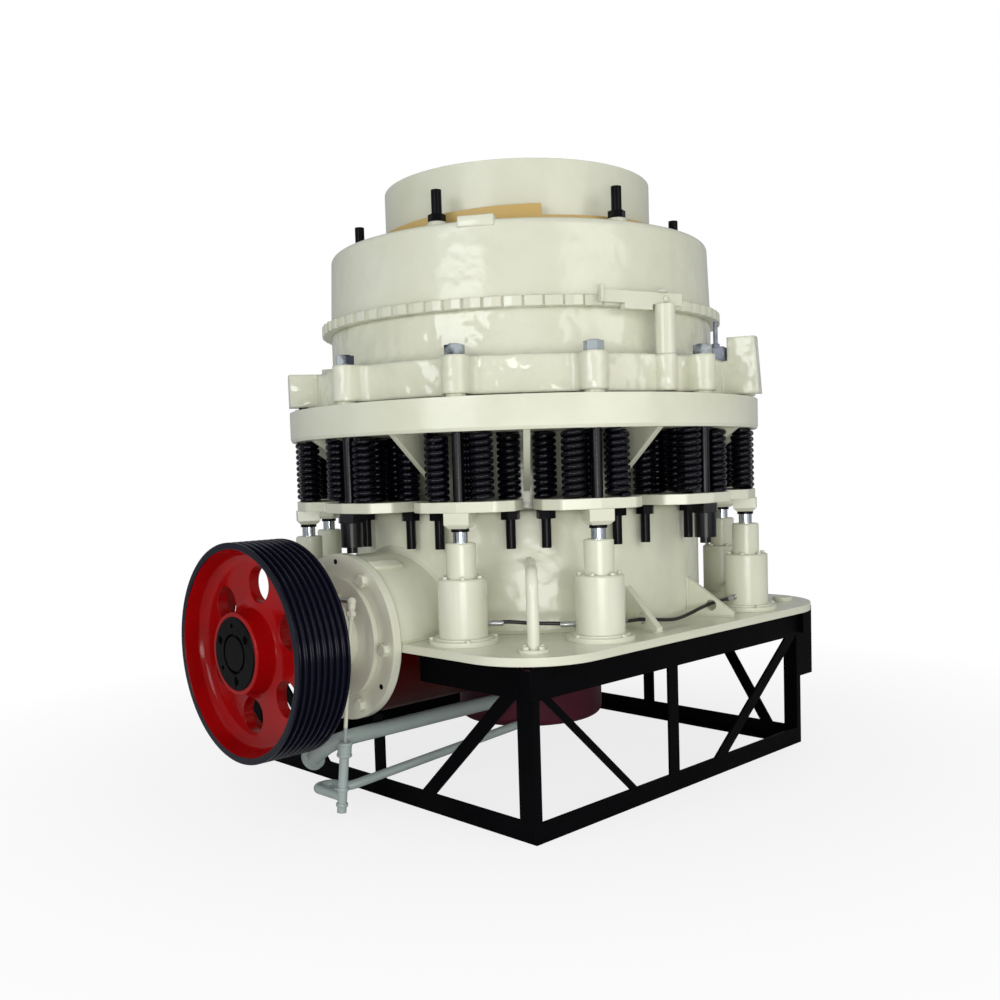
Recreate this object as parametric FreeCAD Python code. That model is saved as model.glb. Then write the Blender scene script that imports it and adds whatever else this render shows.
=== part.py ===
import FreeCAD, Part
import math
import os

# Spring cone crusher on its angle-iron transport stand, in millimetres.
# The origin is on the crusher's vertical axis at floor level. +Z is up, and
# the countershaft with its belt pulley points along -Y.

V = FreeCAD.Vector
UP = V(0, 0, 1)
ORIGIN = V(0, 0, 0)

# Clearances
FIT = 0.3
RUN = 5.0

# Spring flange at the top of the main frame
BAND_R = 1000.0
FRAME_HEIGHT = 748.5
BAND_THICK = 121.5
BAND_DRAFT = 6.0
BAND_EDGE = 12.0
SEAT_HEIGHT = 12.0
SEAT_MARGIN = 12.0
BOLT_HOLE_GAP = 6.5
SHIM_R = 36.0

# Groups of main bolt, springs and clearing jack
GROUPS = 12
GROUP_STEP = 360.0 / GROUPS
BOLT_EDGE = 57.0
BOLT_R = 20.5
SPRING_R = 45.0
SPRING_BORE_R = 22.0
SPRING_SIDES = 12
SPRING_HEIGHT = 246.5
SPRING_PLATE_THICK = 38.0
SPRING_PLATE_MARGIN = 42.0
SPRING_PLATE_OUT_HALF = 140.0
SPRING_PLATE_OUT_CUT = 22.0
SPRING_PLATE_SIDE_INSET = 50.0
SPRING_PLATE_SIDE_HALF = 190.0
SPRING_PLATE_MID_GAP = 80.0
SPRING_PLATE_MID_HALF = 184.0
SPRING_PLATE_IN_GAP = 25.0
SPRING_PLATE_IN_HALF = 150.0
SPRING_PLATE_CORNER = 22.0
SPRING_BOLT_R = 18.0
SPRING_BOLT_INSET = 176.0
SPRING_BOLT_HALF_SPAN = 138.0
OUTER_SPRING_INSET = 8.0
OUTER_SPRING_HALF_SPAN = 83.0
INNER_SPRING_GAPS = (55.0, 150.0)
SPRING_BOLT_HANG = 143.0
SPRING_BOLT_RISE = 212.0
SPRING_NUT_R = 36.0
SPRING_NUT_HEIGHT = 36.0
SQUARE_NUT_WIDTH = 92.0
SQUARE_NUT_HEIGHT = 56.0
SQUARE_NUT_BEVEL = 14.0
BOLT_FLOOR = 8.0
FREE_BOLT_HANG = 150.0
FREE_NUT_R = 52.0
FREE_NUT_HEIGHT = 36.0
FREE_SLEEVE_R = 41.0
FREE_SLEEVE_HEIGHT = 92.0

# Base plate
PLATE_THICK = 30.0
PLATE_INSET = 32.0
PLATE_BACK_INSET = 26.0
PLATE_CORNER = 290.0

# Stand
STAND_HEIGHT = 594.0
STAND_SIDE_INSET = 94.0
STAND_FRONT_INSET = 81.0
STAND_BACK_INSET = 142.0
TOP_RAIL_HEIGHT = 117.0
LOW_RAIL_HEIGHT = 70.0
RAIL_FLANGE = 60.0
RAIL_GAP = 6.0
ANGLE_WALL = 10.0
POST_LEG_X = 76.0
POST_LEG_Y = 30.0
MID_POST = 58.0
MID_POST_Y = -125.0
MID_POST_X = 45.0
BRACE_WIDTH = 50.0
LIGHT_BRACE_WIDTH = 26.0
BRACE_CORNER_GAPS = (67.0, 76.0, 119.0, 434.0)
SIDE_BRACE_FEET = (-372.0, 185.0)
END_BRACE_FEET = (330.0, 705.0)
HANGER_LENGTH = 300.0
HANGER_WIDTH = 100.0

# Main frame shell
SHELL_STEP = 47.0
SHELL_WALL = 40.0
SHELL_HEIGHT = 406.0
SHOULDER_HEIGHT = 50.0
SHOULDER_ROUND = 20.0
SPRING_ROOM = 335.0
NECK_WALL = 30.0

# Clearing jacks and their hoses
JACK_FLANGE_R = 123.0
JACK_FLANGE_THICK = 18.0
JACK_STEP_R = 106.0
JACK_STEP = 7.0
JACK_LOW_R = 88.0
JACK_LOW_HEIGHT = 232.0
JACK_HIGH_R = 54.0
JACK_HIGH_HEIGHT = 126.0
JACK_BEVEL = 5.0
JACK_ROD_R = 26.5
JACK_ROD_HIDDEN = 100.0
HOSE_R = 7.0
HOSE_HOLE_R = 22.0
HOSE_HOLE_Z = 44.0
HOSE_END_Z = (67.0, 56.0, 52.0, 58.0)

# Ribs
RIB_THICK = 25.0
RIB_MARGIN = 34.0
RIB_SLOPE = 0.795
GUSSET_MARGIN = 64.0
FOOT_GUSSET_HEIGHT = 181.0
FOOT_GUSSET_TOE = 18.0

# Adjusting ring
RING_INSET = 188.0
RING_WALL = 122.0
RING_HEIGHT = 308.0
EAR_HEIGHT = 134.0
EAR_R = 48.0
EAR_FILLET = 30.0
FOOT_WALL_INSET = 53.0
FOOT_LAND = 8.0
FOOT_RISE = 8.0
RING_COVE = 46.0
STOP_ANGLES = (60, 240)
STOP_HALF = 50.0
STOP_LIFT = 9.0
STOP_RISE = 8.0
LUG_ANGLES = (21, 201)
LUG_THICK = 64.0
LUG_IN_GAP = 15.0
LUG_TOP_REACH = 14.0
LUG_FOOT_REACH = 30.0
LUG_RISE = 92.0
MAIN_NUT_R = 37.0
MAIN_NUT_HEIGHT = 36.0
MAIN_BOLT_END = 4.0

# Adjusting cap with its ratchet ring
TOOTH_REACH = 39.0
TOOTH_DEPTH = 13.0
TOOTH_COUNT = 72
TOOTH_RING_THICK = 38.0
TOOTH_RING_BORE_GAP = 60.0
CAP_HEIGHT = 285.0
CAP_TAPER = 11.0
CAP_WALL = 28.0
CAP_ROUND = 22.0
STUD_R = 20.0
STUD_COUNT = 6
STUD_EDGE = 121.0
STUD_HEIGHT = 153.0
STUD_BOSS_R = 38.0
STUD_BOSS_HEIGHT = 28.0
STUD_FIRST = -72.0
STUD_NUT_R = 34.0
STUD_NUT_HEIGHT = 33.0
CAP_LUG_ANGLE = -57.0
CAP_LUG_LENGTH = 66.0
CAP_LUG_HALF = 50.0
CAP_LUG_THICK = 18.0
CAP_PAD_R = 62.0
CAP_PAD_THICK = 8.0

# Pawl on the adjusting ring
PAWL_POST_R = 37.0
PAWL_POST_ANGLE = -9.5
PAWL_BOSS_R = 40.0
PAWL_BOSS_INSET = 44.0
PAWL_ARM_ANGLE = -15.3
PAWL_ARM_GAP = 14.0
PAWL_ARM_THICK = 16.0
PAWL_ARM_HALF = 183.0
PAWL_ARM_HEIGHT = 45.0
PAWL_ARM_RISE = 6.0
PAWL_TOE = (-78.0, 46.0)
PAWL_TOE_DROP = 20.0

# Hopper
HOPPER_INSET = 124.0
HOPPER_WALL = 14.0
HOPPER_HEIGHT = 273.0
WEDGE_WIDTH = 44.0
WEDGE_STEPS = 3
WEDGE_FIRST = -37.0
WEDGE_LOW = 50.0
WEDGE_HIGH = 93.0

# Bowl and head
BOWL_MOUTH_DROP = 117.0
BOWL_LIP = 18.0
THROAT_STEP = 66.0
BOWL_THROAT_DROP = 90.0
BOWL_HANG = 100.0
BOWL_GAP = 10.0
BOWL_LOW_WALL = 25.0
CRUSHING_GAP = 38.0
HEAD_DROP = 55.0
HEAD_SKIRT = 60.0
HEAD_SKIRT_STEP = 30.0
HEAD_THROAT_DROP = 40.0
HEAD_TOP_R = 200.0
HEAD_FOOT_DROP = 40.0
FEED_PLATE_R = 235.0
FEED_PLATE_THICK = 30.0
FEED_PLATE_EDGE = 15.0
HEAD_NUT_R = 150.0
HEAD_NUT_HEIGHT = 90.0

# Hub, sump and arms
HUB_R = 314.0
HUB_DROP = 166.0
HUB_RISE = 272.0
HUB_CONE = 60.0
SUMP_HEIGHT = 170.0
SUMP_ROUND = 32.0
ECCENTRIC_R = 250.0
ARM_THICK = 80.0
ARM_RISE = 72.0
ARM_HEIGHT = 230.0
ARM_ANGLES = (45, 135, 225, 315)

# Countershaft, its housing and pulley
SHAFT_RISE = 34.0
SHAFT_R = 60.0
SHAFT_HUB_GAP = 116.0
HOUSING_R = 302.0
HOUSING_BORE_R = 85.0
HOUSING_REACH = 4.0
HOUSING_FLANGE_STEP = 10.0
HOUSING_FLANGE_THICK = 36.0
COVER_R = 228.0
COVER_THICK = 22.0
COVER_NOSE_R = 130.0
COVER_NOSE_LENGTH = 45.0
COVER_NOSE_BEVEL = 8.0
SHAFT_GAP = 1.0
PULLEY_GAP = 174.0
PULLEY_R = 378.0
PULLEY_WIDTH = 207.0
GROOVES = 8
GROOVE_PITCH = 24.9
GROOVE_TOP = 20.0
GROOVE_BOTTOM = 10.0
GROOVE_DEPTH = 16.0
RIM_LIP = 22.0
RIM_TAPER = 16.0
WEB_SETBACK = 80.0
WEB_THICK = 30.0
WEB_HOLES = 6
WEB_HOLE_CIRCLE_R = 238.0
WEB_HOLE_R = 40.0
WEB_HOLE_FIRST = 24.5
HUB_BOSS_R = 142.0
HUB_BOSS_BEVEL = 6.0
HUB_BOSS_SETBACK = 14.0
BUSH_R = 112.0
BUSH_PROUD = 6.0
BUSH_LENGTH = 172.0
BUSH_BEVEL = 4.0

# Lifting pipe, oil pipe and drain
LIFT_PIPE_R = 21.0
LIFT_PIPE_REACH = 140.0
LIFT_PIPE_RISE = 265.0
LIFT_PIPE_BEND = 60.0
PIPE_FOOT_R = 52.0
PIPE_FOOT_THICK = 12.0
OIL_TUBE_R = 7.0
OIL_PIPE_R = 17.0
OIL_GAP = 30.0
OIL_UNION_R = 25.0
OIL_UNION_HEIGHT = 44.0
OIL_TUBE_RISE = 157.0
OIL_TUBE_X = (30.0, 204.0, 182.0)
OIL_TUBE_LEAN = 37.0
OIL_UNION_GAP = 46.0
OIL_TEE_DROP = 194.0
OIL_PIPE_LENGTH = 250.0
RETURN_DEPTH = 76.0
RETURN_X = 92.0
RETURN_END = (222.0, -180.0)
RETURN_RISE = 38.0
DRAIN_R = 28.5
DRAIN_X = 107.0
DRAIN_GAP = 51.0
DRAIN_TURN_GAP = 57.0
DRAIN_SIDE = 132.0
DRAIN_DROP = 84.0
DRAIN_FLANGE_R = 46.0
DRAIN_FLANGE_THICK = 14.0

PLATE_HALF = BAND_R - PLATE_INSET
PLATE_BACK = PLATE_HALF - PLATE_BACK_INSET
PLATE_TOP = STAND_HEIGHT + PLATE_THICK
SHAFT_Z = STAND_HEIGHT + SHAFT_RISE
HOUSING_LOW_Z = SHAFT_Z - HOUSING_R
STAND_HALF_X = PLATE_HALF - STAND_SIDE_INSET
STAND_FRONT = PLATE_HALF - STAND_FRONT_INSET
STAND_BACK = PLATE_BACK - STAND_BACK_INSET
TOP_RAIL_Z = STAND_HEIGHT - TOP_RAIL_HEIGHT
RAIL_END_X = STAND_HALF_X - RAIL_FLANGE

BOLT_CIRCLE_R = BAND_R - BOLT_EDGE
NECK_R = BAND_R - SPRING_ROOM
SHELL_R = NECK_R + SHELL_STEP
RING_R = BAND_R - RING_INSET
RING_BORE_R = RING_R - RING_WALL
HOPPER_R = RING_BORE_R - HOPPER_INSET
BAND_Z = PLATE_TOP + FRAME_HEIGHT
BAND_TOP = BAND_Z + BAND_THICK
RING_Z = BAND_TOP + SEAT_HEIGHT
SPRING_Z = BAND_Z - SPRING_HEIGHT
PLATE_LOW_Z = SPRING_Z - SPRING_PLATE_THICK
NUT_LOW_Z = PLATE_LOW_Z - SQUARE_NUT_HEIGHT
SHELL_BORE_R = SHELL_R - SHELL_WALL
SHOULDER_LOW = PLATE_TOP + SHELL_HEIGHT
SHOULDER_HIGH = SHOULDER_LOW + SHOULDER_HEIGHT
NECK_BORE_R = NECK_R - NECK_WALL

EAR_TOP_Z = RING_Z + EAR_HEIGHT
RING_TOP_Z = RING_Z + RING_HEIGHT
RING_FOOT_R = BOLT_CIRCLE_R - FOOT_WALL_INSET
CAP_Z = RING_TOP_Z + TOOTH_RING_THICK
CAP_TOP_Z = CAP_Z + CAP_HEIGHT
CAP_TOP_R = RING_R - CAP_TAPER
TOOTH_RING_R = RING_R + TOOTH_REACH
HOPPER_TOP_Z = CAP_TOP_Z + HOPPER_HEIGHT

BOWL_MOUTH_Z = CAP_TOP_Z - BOWL_MOUTH_DROP
BOWL_THROAT_Z = BOWL_MOUTH_Z - BOWL_THROAT_DROP
BOWL_THROAT_R = HOPPER_R - THROAT_STEP
BOWL_LOW_Z = RING_Z - BOWL_HANG
BOWL_LOW_OUT_R = NECK_BORE_R - BOWL_GAP
BOWL_LOW_R = BOWL_LOW_OUT_R - BOWL_LOW_WALL
HEAD_LOW_R = BOWL_LOW_R - CRUSHING_GAP
HEAD_LOW_Z = BOWL_LOW_Z - HEAD_DROP
HEAD_SKIRT_Z = HEAD_LOW_Z - HEAD_SKIRT
HEAD_TOP_Z = BOWL_THROAT_Z - HEAD_THROAT_DROP
HEAD_FOOT_Z = HEAD_SKIRT_Z - HEAD_FOOT_DROP
HUB_LOW_Z = HOUSING_LOW_Z - HUB_DROP
SUMP_TOP_Z = HUB_LOW_Z + SUMP_HEIGHT
HUB_TOP_Z = SHAFT_Z + HUB_RISE
ARM_LOW_Z = SHAFT_Z + ARM_RISE
ARM_TOP_Z = ARM_LOW_Z + ARM_HEIGHT

HOUSING_FRONT_Y = -(PLATE_HALF + HOUSING_REACH)
FLANGE_Y = HOUSING_FRONT_Y - HOUSING_FLANGE_THICK
HOUSING_FLANGE_R = HOUSING_R + HOUSING_FLANGE_STEP
COVER_Y = FLANGE_Y - COVER_THICK
NOSE_Y = COVER_Y - COVER_NOSE_LENGTH
COVER_BORE_R = SHAFT_R + SHAFT_GAP
PULLEY_BACK_Y = NOSE_Y - PULLEY_GAP
PULLEY_FRONT_Y = PULLEY_BACK_Y - PULLEY_WIDTH
WEB_FRONT_Y = PULLEY_FRONT_Y + WEB_SETBACK
WEB_BACK_Y = WEB_FRONT_Y + WEB_THICK
RIM_LIP_R = PULLEY_R - RIM_LIP
RIM_ROOT_R = RIM_LIP_R - RIM_TAPER
BUSH_FRONT_Y = PULLEY_FRONT_Y - BUSH_PROUD
BUSH_BACK_Y = BUSH_FRONT_Y + BUSH_LENGTH
SHAFT_IN_Y = -(HUB_R + SHAFT_HUB_GAP)

JACK_ANGLES = [a for a in range(0, 360, 30) if a % 90]
FREE_ANGLES = [a for a in range(0, 360, 90)]
GUSSET_ANGLES = (-15, 15, 75, 105, 165, 195)
SIDES = {"right": 0, "rear": 90, "left": 180, "front": 270}

os.makedirs("parts", exist_ok=True)


def save(name, *shapes):
    shape = shapes[0] if len(shapes) == 1 else Part.makeCompound(list(shapes))
    shape.exportStep("parts/" + name + ".step")


def box(x0, x1, y0, y1, z0, z1):
    return Part.makeBox(x1 - x0, y1 - y0, z1 - z0, V(x0, y0, z0))


def rod(radius, z0, z1, x=0.0, y=0.0):
    return Part.makeCylinder(radius, z1 - z0, V(x, y, z0), UP)


def rod_between(radius, start, end):
    return Part.makeCylinder(radius, (end - start).Length, start, end - start)


def shaft_rod(radius, y0, y1):
    return Part.makeCylinder(radius, y1 - y0, V(0, y0, SHAFT_Z), V(0, 1, 0))


def turned(points):
    # a solid of revolution about the machine's axis from (radius, height) points
    outline = [V(r, 0, z) for r, z in points]
    face = Part.Face(Part.makePolygon(outline + [outline[0]]))
    return face.revolve(ORIGIN, UP, 360)


def turned_on_shaft(points):
    # a solid of revolution about the countershaft from (radius, y) points
    outline = [V(r, y, SHAFT_Z) for r, y in points]
    face = Part.Face(Part.makePolygon(outline + [outline[0]]))
    return face.revolve(V(0, 0, SHAFT_Z), V(0, 1, 0), 360)


def plate(points, z0, z1):
    outline = [V(x, y, z0) for x, y in points]
    face = Part.Face(Part.makePolygon(outline + [outline[0]]))
    return face.extrude(V(0, 0, z1 - z0))


def rib(outline, thick):
    # an upright plate in the XZ plane from (radius, height) points, centred on it
    points = [V(r, -thick / 2, z) for r, z in outline]
    face = Part.Face(Part.makePolygon(points + [points[0]]))
    return face.extrude(V(0, thick, 0))


def hexagon(corner_r, z0, z1, x=0.0, y=0.0, sides=6):
    points = []
    for i in range(sides):
        a = 2 * math.pi * i / sides
        points.append((x + corner_r * math.cos(a), y + corner_r * math.sin(a)))
    return plate(points, z0, z1)


def at_angle(shape, degrees):
    turned_copy = shape.copy()
    turned_copy.rotate(ORIGIN, UP, degrees)
    return turned_copy


def round_upright_edges(shape, radius, keep=lambda x, y: True):
    edges = []
    for edge in shape.Edges:
        a, b = edge.Vertexes[0].Point, edge.Vertexes[-1].Point
        upright = abs(a.x - b.x) < 0.01 and abs(a.y - b.y) < 0.01 and abs(a.z - b.z) > 0.01
        if upright and keep(a.x, a.y):
            edges.append(edge)
    return shape.makeFillet(radius, edges)


def level_circles(shape, radius, z):
    # the edges of a turned shape that are circles of this radius at this height
    found = []
    for edge in shape.Edges:
        bounds = edge.BoundBox
        if bounds.ZLength < 0.01 and abs(bounds.ZMax - z) < 0.01 and abs(bounds.XMax - radius) < 0.5:
            found.append(edge)
    return found


def bent_tube(points, radius):
    # straight runs joined by arcs that touch them, as large as the shorter run allows
    edges = []
    bends = []
    start = points[0]
    for before, corner, after in zip(points, points[1:], points[2:]):
        back = before - corner
        ahead = after - corner
        reach = 0.45 * min(back.Length, ahead.Length)
        half_turn = (math.pi - back.getAngle(ahead)) / 2
        bend = reach / math.tan(half_turn)
        bends.append(round(bend))
        first = corner + back.normalize() * reach
        last = corner + ahead.normalize() * reach
        inward = (first + last) * 0.5 - corner
        inward.normalize()
        middle = corner + inward * (bend / math.cos(half_turn) - bend)
        edges.append(Part.LineSegment(start, first).toShape())
        edges.append(Part.Arc(first, middle, last).toShape())
        start = last
    edges.append(Part.LineSegment(start, points[-1]).toShape())
    section = Part.Face(Part.Wire(Part.makeCircle(radius, points[0], points[1] - points[0])))
    print("bend radii", bends)
    return Part.Wire(edges).makePipe(section)


# Stand posts
def angle_post(x_side, y_edge, y_side):
    # a corner post: the wide leg lies along X, the narrow one along Y
    x_out = x_side * STAND_HALF_X
    x_in = x_side * (STAND_HALF_X - POST_LEG_X)
    y_in = y_edge - y_side * POST_LEG_Y
    y_wall = y_edge - y_side * ANGLE_WALL
    x_wall = x_side * (STAND_HALF_X - ANGLE_WALL)
    outline = [(x_out, y_edge), (x_in, y_edge), (x_in, y_wall), (x_wall, y_wall), (x_wall, y_in), (x_out, y_in)]
    return plate(outline, 0, TOP_RAIL_Z)


posts = []
for x_side in (-1, 1):
    posts.append(angle_post(x_side, -STAND_FRONT, -1))
    posts.append(angle_post(x_side, STAND_BACK, 1))
    low, high = sorted((x_side * STAND_HALF_X, x_side * (STAND_HALF_X - ANGLE_WALL)))
    posts.append(box(low, high, MID_POST_Y - MID_POST / 2, MID_POST_Y + MID_POST / 2, LOW_RAIL_HEIGHT, TOP_RAIL_Z))
for y_low, post_top in ((-STAND_FRONT, SHAFT_Z - HOUSING_R - RUN), (STAND_BACK - ANGLE_WALL, TOP_RAIL_Z)):
    posts.append(box(MID_POST_X - MID_POST / 2, MID_POST_X + MID_POST / 2, y_low, y_low + ANGLE_WALL,
                     LOW_RAIL_HEIGHT, post_top))
save("stand_posts", *posts)


# Stand rails: channels on top, angles on the floor
def channel_outline(edge, side):
    inner = edge - side * RAIL_FLANGE
    wall = edge - side * ANGLE_WALL
    z0, z1 = TOP_RAIL_Z, STAND_HEIGHT
    return [(edge, z0), (inner, z0), (inner, z0 + ANGLE_WALL), (wall, z0 + ANGLE_WALL),
            (wall, z1 - ANGLE_WALL), (inner, z1 - ANGLE_WALL), (inner, z1), (edge, z1)]


def angle_outline(edge, side):
    inner = edge - side * RAIL_FLANGE
    wall = edge - side * ANGLE_WALL
    return [(edge, 0), (inner, 0), (inner, ANGLE_WALL), (wall, ANGLE_WALL), (wall, LOW_RAIL_HEIGHT),
            (edge, LOW_RAIL_HEIGHT)]


def bar_along_y(outline, y0, y1):
    points = [V(x, y0, z) for x, z in outline]
    return Part.Face(Part.makePolygon(points + [points[0]])).extrude(V(0, y1 - y0, 0))


def bar_along_x(outline, x0, x1):
    points = [V(x0, y, z) for y, z in outline]
    return Part.Face(Part.makePolygon(points + [points[0]])).extrude(V(x1 - x0, 0, 0))


rail_gap_x = HOUSING_R + RAIL_GAP
top_rails = [bar_along_y(channel_outline(-STAND_HALF_X, -1), -STAND_FRONT, STAND_BACK),
             bar_along_y(channel_outline(STAND_HALF_X, 1), -STAND_FRONT, STAND_BACK),
             bar_along_x(channel_outline(-STAND_FRONT, -1), -RAIL_END_X, -rail_gap_x),
             bar_along_x(channel_outline(-STAND_FRONT, -1), rail_gap_x, RAIL_END_X),
             bar_along_x(channel_outline(STAND_BACK, 1), -RAIL_END_X, RAIL_END_X)]
for x_side in (-1, 1):
    low, high = sorted((x_side * STAND_HALF_X, x_side * (STAND_HALF_X - ANGLE_WALL)))
    top_rails.append(box(low, high, STAND_BACK, STAND_BACK + HANGER_WIDTH, STAND_HEIGHT - HANGER_LENGTH,
                         STAND_HEIGHT))
save("stand_top_rails", *top_rails)

low_y = (-STAND_FRONT + POST_LEG_Y, STAND_BACK - POST_LEG_Y)
low_x = STAND_HALF_X - POST_LEG_X
save("stand_low_rails", bar_along_y(angle_outline(-STAND_HALF_X, -1), *low_y),
     bar_along_y(angle_outline(STAND_HALF_X, 1), *low_y),
     bar_along_x(angle_outline(-STAND_FRONT, -1), -low_x, low_x),
     bar_along_x(angle_outline(STAND_BACK, 1), -low_x, low_x))


# Stand braces: flat bars cut level at both rails
def brace_outline(foot, top, width):
    rise = TOP_RAIL_Z - LOW_RAIL_HEIGHT
    half = width / 2 * math.hypot(top - foot, rise) / rise
    return [(foot - half, LOW_RAIL_HEIGHT), (foot + half, LOW_RAIL_HEIGHT), (top + half, TOP_RAIL_Z),
            (top - half, TOP_RAIL_Z)]


def side_brace(x_side, foot, top, width):
    points = [V(x_side * (STAND_HALF_X - ANGLE_WALL), a, z) for a, z in brace_outline(foot, top, width)]
    return Part.Face(Part.makePolygon(points + [points[0]])).extrude(V(x_side * ANGLE_WALL, 0, 0))


def end_brace(y_edge, y_side, foot, top):
    points = [V(a, y_edge - y_side * ANGLE_WALL, z) for a, z in brace_outline(foot, top, BRACE_WIDTH)]
    return Part.Face(Part.makePolygon(points + [points[0]])).extrude(V(0, y_side * ANGLE_WALL, 0))


near_gap, far_gap, front_gap, back_gap = BRACE_CORNER_GAPS
braces = []
for x_side in (-1, 1):
    braces.append(side_brace(x_side, SIDE_BRACE_FEET[0], near_gap - STAND_FRONT, LIGHT_BRACE_WIDTH))
    braces.append(side_brace(x_side, SIDE_BRACE_FEET[1], STAND_BACK - far_gap, BRACE_WIDTH))
    braces.append(end_brace(-STAND_FRONT, -1, x_side * END_BRACE_FEET[0], x_side * (STAND_HALF_X - front_gap)))
    braces.append(end_brace(STAND_BACK, 1, x_side * END_BRACE_FEET[1], x_side * (STAND_HALF_X - back_gap)))
save("stand_braces", *braces)

# Base plate with rounded corners, the discharge bore and the housing's slot
base = box(-PLATE_HALF, PLATE_HALF, -PLATE_HALF, PLATE_BACK, STAND_HEIGHT, PLATE_TOP)
base = round_upright_edges(base, PLATE_CORNER)
base = base.cut(rod(SHELL_BORE_R, STAND_HEIGHT, PLATE_TOP))
base = base.cut(shaft_rod(HOUSING_R, -PLATE_HALF, 0))
save("base_plate", base)

# Main frame shell: a wide foot, a rounded shoulder and the neck behind the springs
shell = turned([(SHELL_R, PLATE_TOP), (SHELL_R, SHOULDER_LOW), (NECK_R, SHOULDER_HIGH), (NECK_R, BAND_Z),
                (NECK_BORE_R, BAND_Z), (NECK_BORE_R, SHOULDER_HIGH - SHELL_WALL),
                (SHELL_BORE_R, SHOULDER_LOW - SHELL_WALL), (SHELL_BORE_R, PLATE_TOP)])
shoulder_edges = level_circles(shell, SHELL_R, SHOULDER_LOW) + level_circles(shell, NECK_R, SHOULDER_HIGH)
shell = shell.makeFillet(SHOULDER_ROUND, shoulder_edges)
shell = shell.cut(shaft_rod(HOUSING_R, -PLATE_HALF, 0))
save("main_shell", shell)


# Spring flange with its seats for the adjusting ring and the main bolts' holes
def round_the_bolts(shape):
    return Part.makeCompound([at_angle(shape, i * GROUP_STEP) for i in range(GROUPS)])


seat_r = RING_R - SEAT_MARGIN
band = turned([(NECK_BORE_R, BAND_Z), (BAND_R - BAND_DRAFT, BAND_Z), (BAND_R, BAND_Z + BAND_EDGE),
               (BAND_R, BAND_TOP), (seat_r, BAND_TOP), (seat_r, RING_Z), (NECK_BORE_R, RING_Z)])
band = band.fuse(round_the_bolts(rod(SHIM_R, BAND_TOP, RING_Z, BOLT_CIRCLE_R)))
band = band.cut(round_the_bolts(rod(BOLT_R + BOLT_HOLE_GAP, BAND_Z, RING_Z, BOLT_CIRCLE_R)))
save("spring_flange", band)

# Ribs between the neck and the spring flange, halfway between the bolt groups
rib_out_r = BAND_R - RIB_MARGIN
rib_low_z = BAND_Z - RIB_SLOPE * (rib_out_r - NECK_R)
rib_blank = rib([(NECK_R - RIB_THICK, BAND_Z), (rib_out_r, BAND_Z), (NECK_R - RIB_THICK, rib_low_z)], RIB_THICK)
rib_blank = rib_blank.cut(rod(NECK_R, SHOULDER_HIGH, BAND_Z))
save("neck_ribs", *[at_angle(rib_blank, (i + 0.5) * GROUP_STEP) for i in range(GROUPS)])

# Foot gussets, with a hole where the hydraulic hose passes
hose_line = BOLT_CIRCLE_R * math.cos(math.radians(30))
gusset_out_r = BAND_R - GUSSET_MARGIN
gusset = rib([(SHELL_BORE_R, PLATE_TOP), (gusset_out_r, PLATE_TOP), (gusset_out_r, PLATE_TOP + FOOT_GUSSET_TOE),
              (SHELL_R, PLATE_TOP + FOOT_GUSSET_HEIGHT), (SHELL_BORE_R, PLATE_TOP + FOOT_GUSSET_HEIGHT)], RIB_THICK)
gusset = gusset.cut(rod(SHELL_R, PLATE_TOP, SHOULDER_LOW))
hose_hole_r = hose_line / math.cos(math.radians(15))
hose_hole = Part.makeCylinder(HOSE_HOLE_R, RIB_THICK, V(hose_hole_r, -RIB_THICK / 2, PLATE_TOP + HOSE_HOLE_Z),
                              V(0, 1, 0))
gusset = gusset.cut(hose_hole)
save("foot_gussets", *[at_angle(gusset, a) for a in GUSSET_ANGLES])

# Central hub with its arms, and the oil sump drum under it
hub = turned([(0, SUMP_TOP_Z), (HUB_R, SUMP_TOP_Z), (HUB_R, HUB_TOP_Z), (ECCENTRIC_R, HUB_TOP_Z + HUB_CONE),
              (ECCENTRIC_R, HEAD_FOOT_Z), (0, HEAD_FOOT_Z)])
arm = box(ECCENTRIC_R, SHELL_R, -ARM_THICK / 2, ARM_THICK / 2, ARM_LOW_Z, ARM_TOP_Z)
arm = arm.common(rod(SHELL_BORE_R, ARM_LOW_Z, ARM_TOP_Z))
for a in ARM_ANGLES:
    hub = hub.fuse(at_angle(arm, a))
hub = hub.cut(shaft_rod(HOUSING_R, -PLATE_HALF, 0))
save("centre_hub", hub)

sump = rod(HUB_R, HUB_LOW_Z, SUMP_TOP_Z)
sump = sump.makeFillet(SUMP_ROUND, level_circles(sump, HUB_R, HUB_LOW_Z))
sump = sump.cut(shaft_rod(HOUSING_R, -PLATE_HALF, 0))
save("oil_sump", sump)

# Countershaft housing, its flange and the bearing cover
housing = shaft_rod(HOUSING_R, HOUSING_FRONT_Y, 0)
housing = housing.cut(shaft_rod(HOUSING_BORE_R, HOUSING_FRONT_Y, SHAFT_IN_Y + RUN))
save("countershaft_housing", housing)

flange = turned_on_shaft([(HOUSING_BORE_R, FLANGE_Y), (HOUSING_FLANGE_R, FLANGE_Y),
                          (HOUSING_FLANGE_R, HOUSING_FRONT_Y), (HOUSING_BORE_R, HOUSING_FRONT_Y)])
save("housing_flange", flange)

cover = turned_on_shaft([(COVER_BORE_R, NOSE_Y), (COVER_NOSE_R - COVER_NOSE_BEVEL, NOSE_Y),
                         (COVER_NOSE_R, NOSE_Y + COVER_NOSE_BEVEL), (COVER_NOSE_R, COVER_Y),
                         (COVER_R, COVER_Y), (COVER_R, FLANGE_Y), (COVER_BORE_R, FLANGE_Y)])
save("bearing_cover", cover)

# Countershaft, belt pulley and its clamping bush
save("countershaft", shaft_rod(SHAFT_R, BUSH_FRONT_Y, SHAFT_IN_Y))

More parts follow.
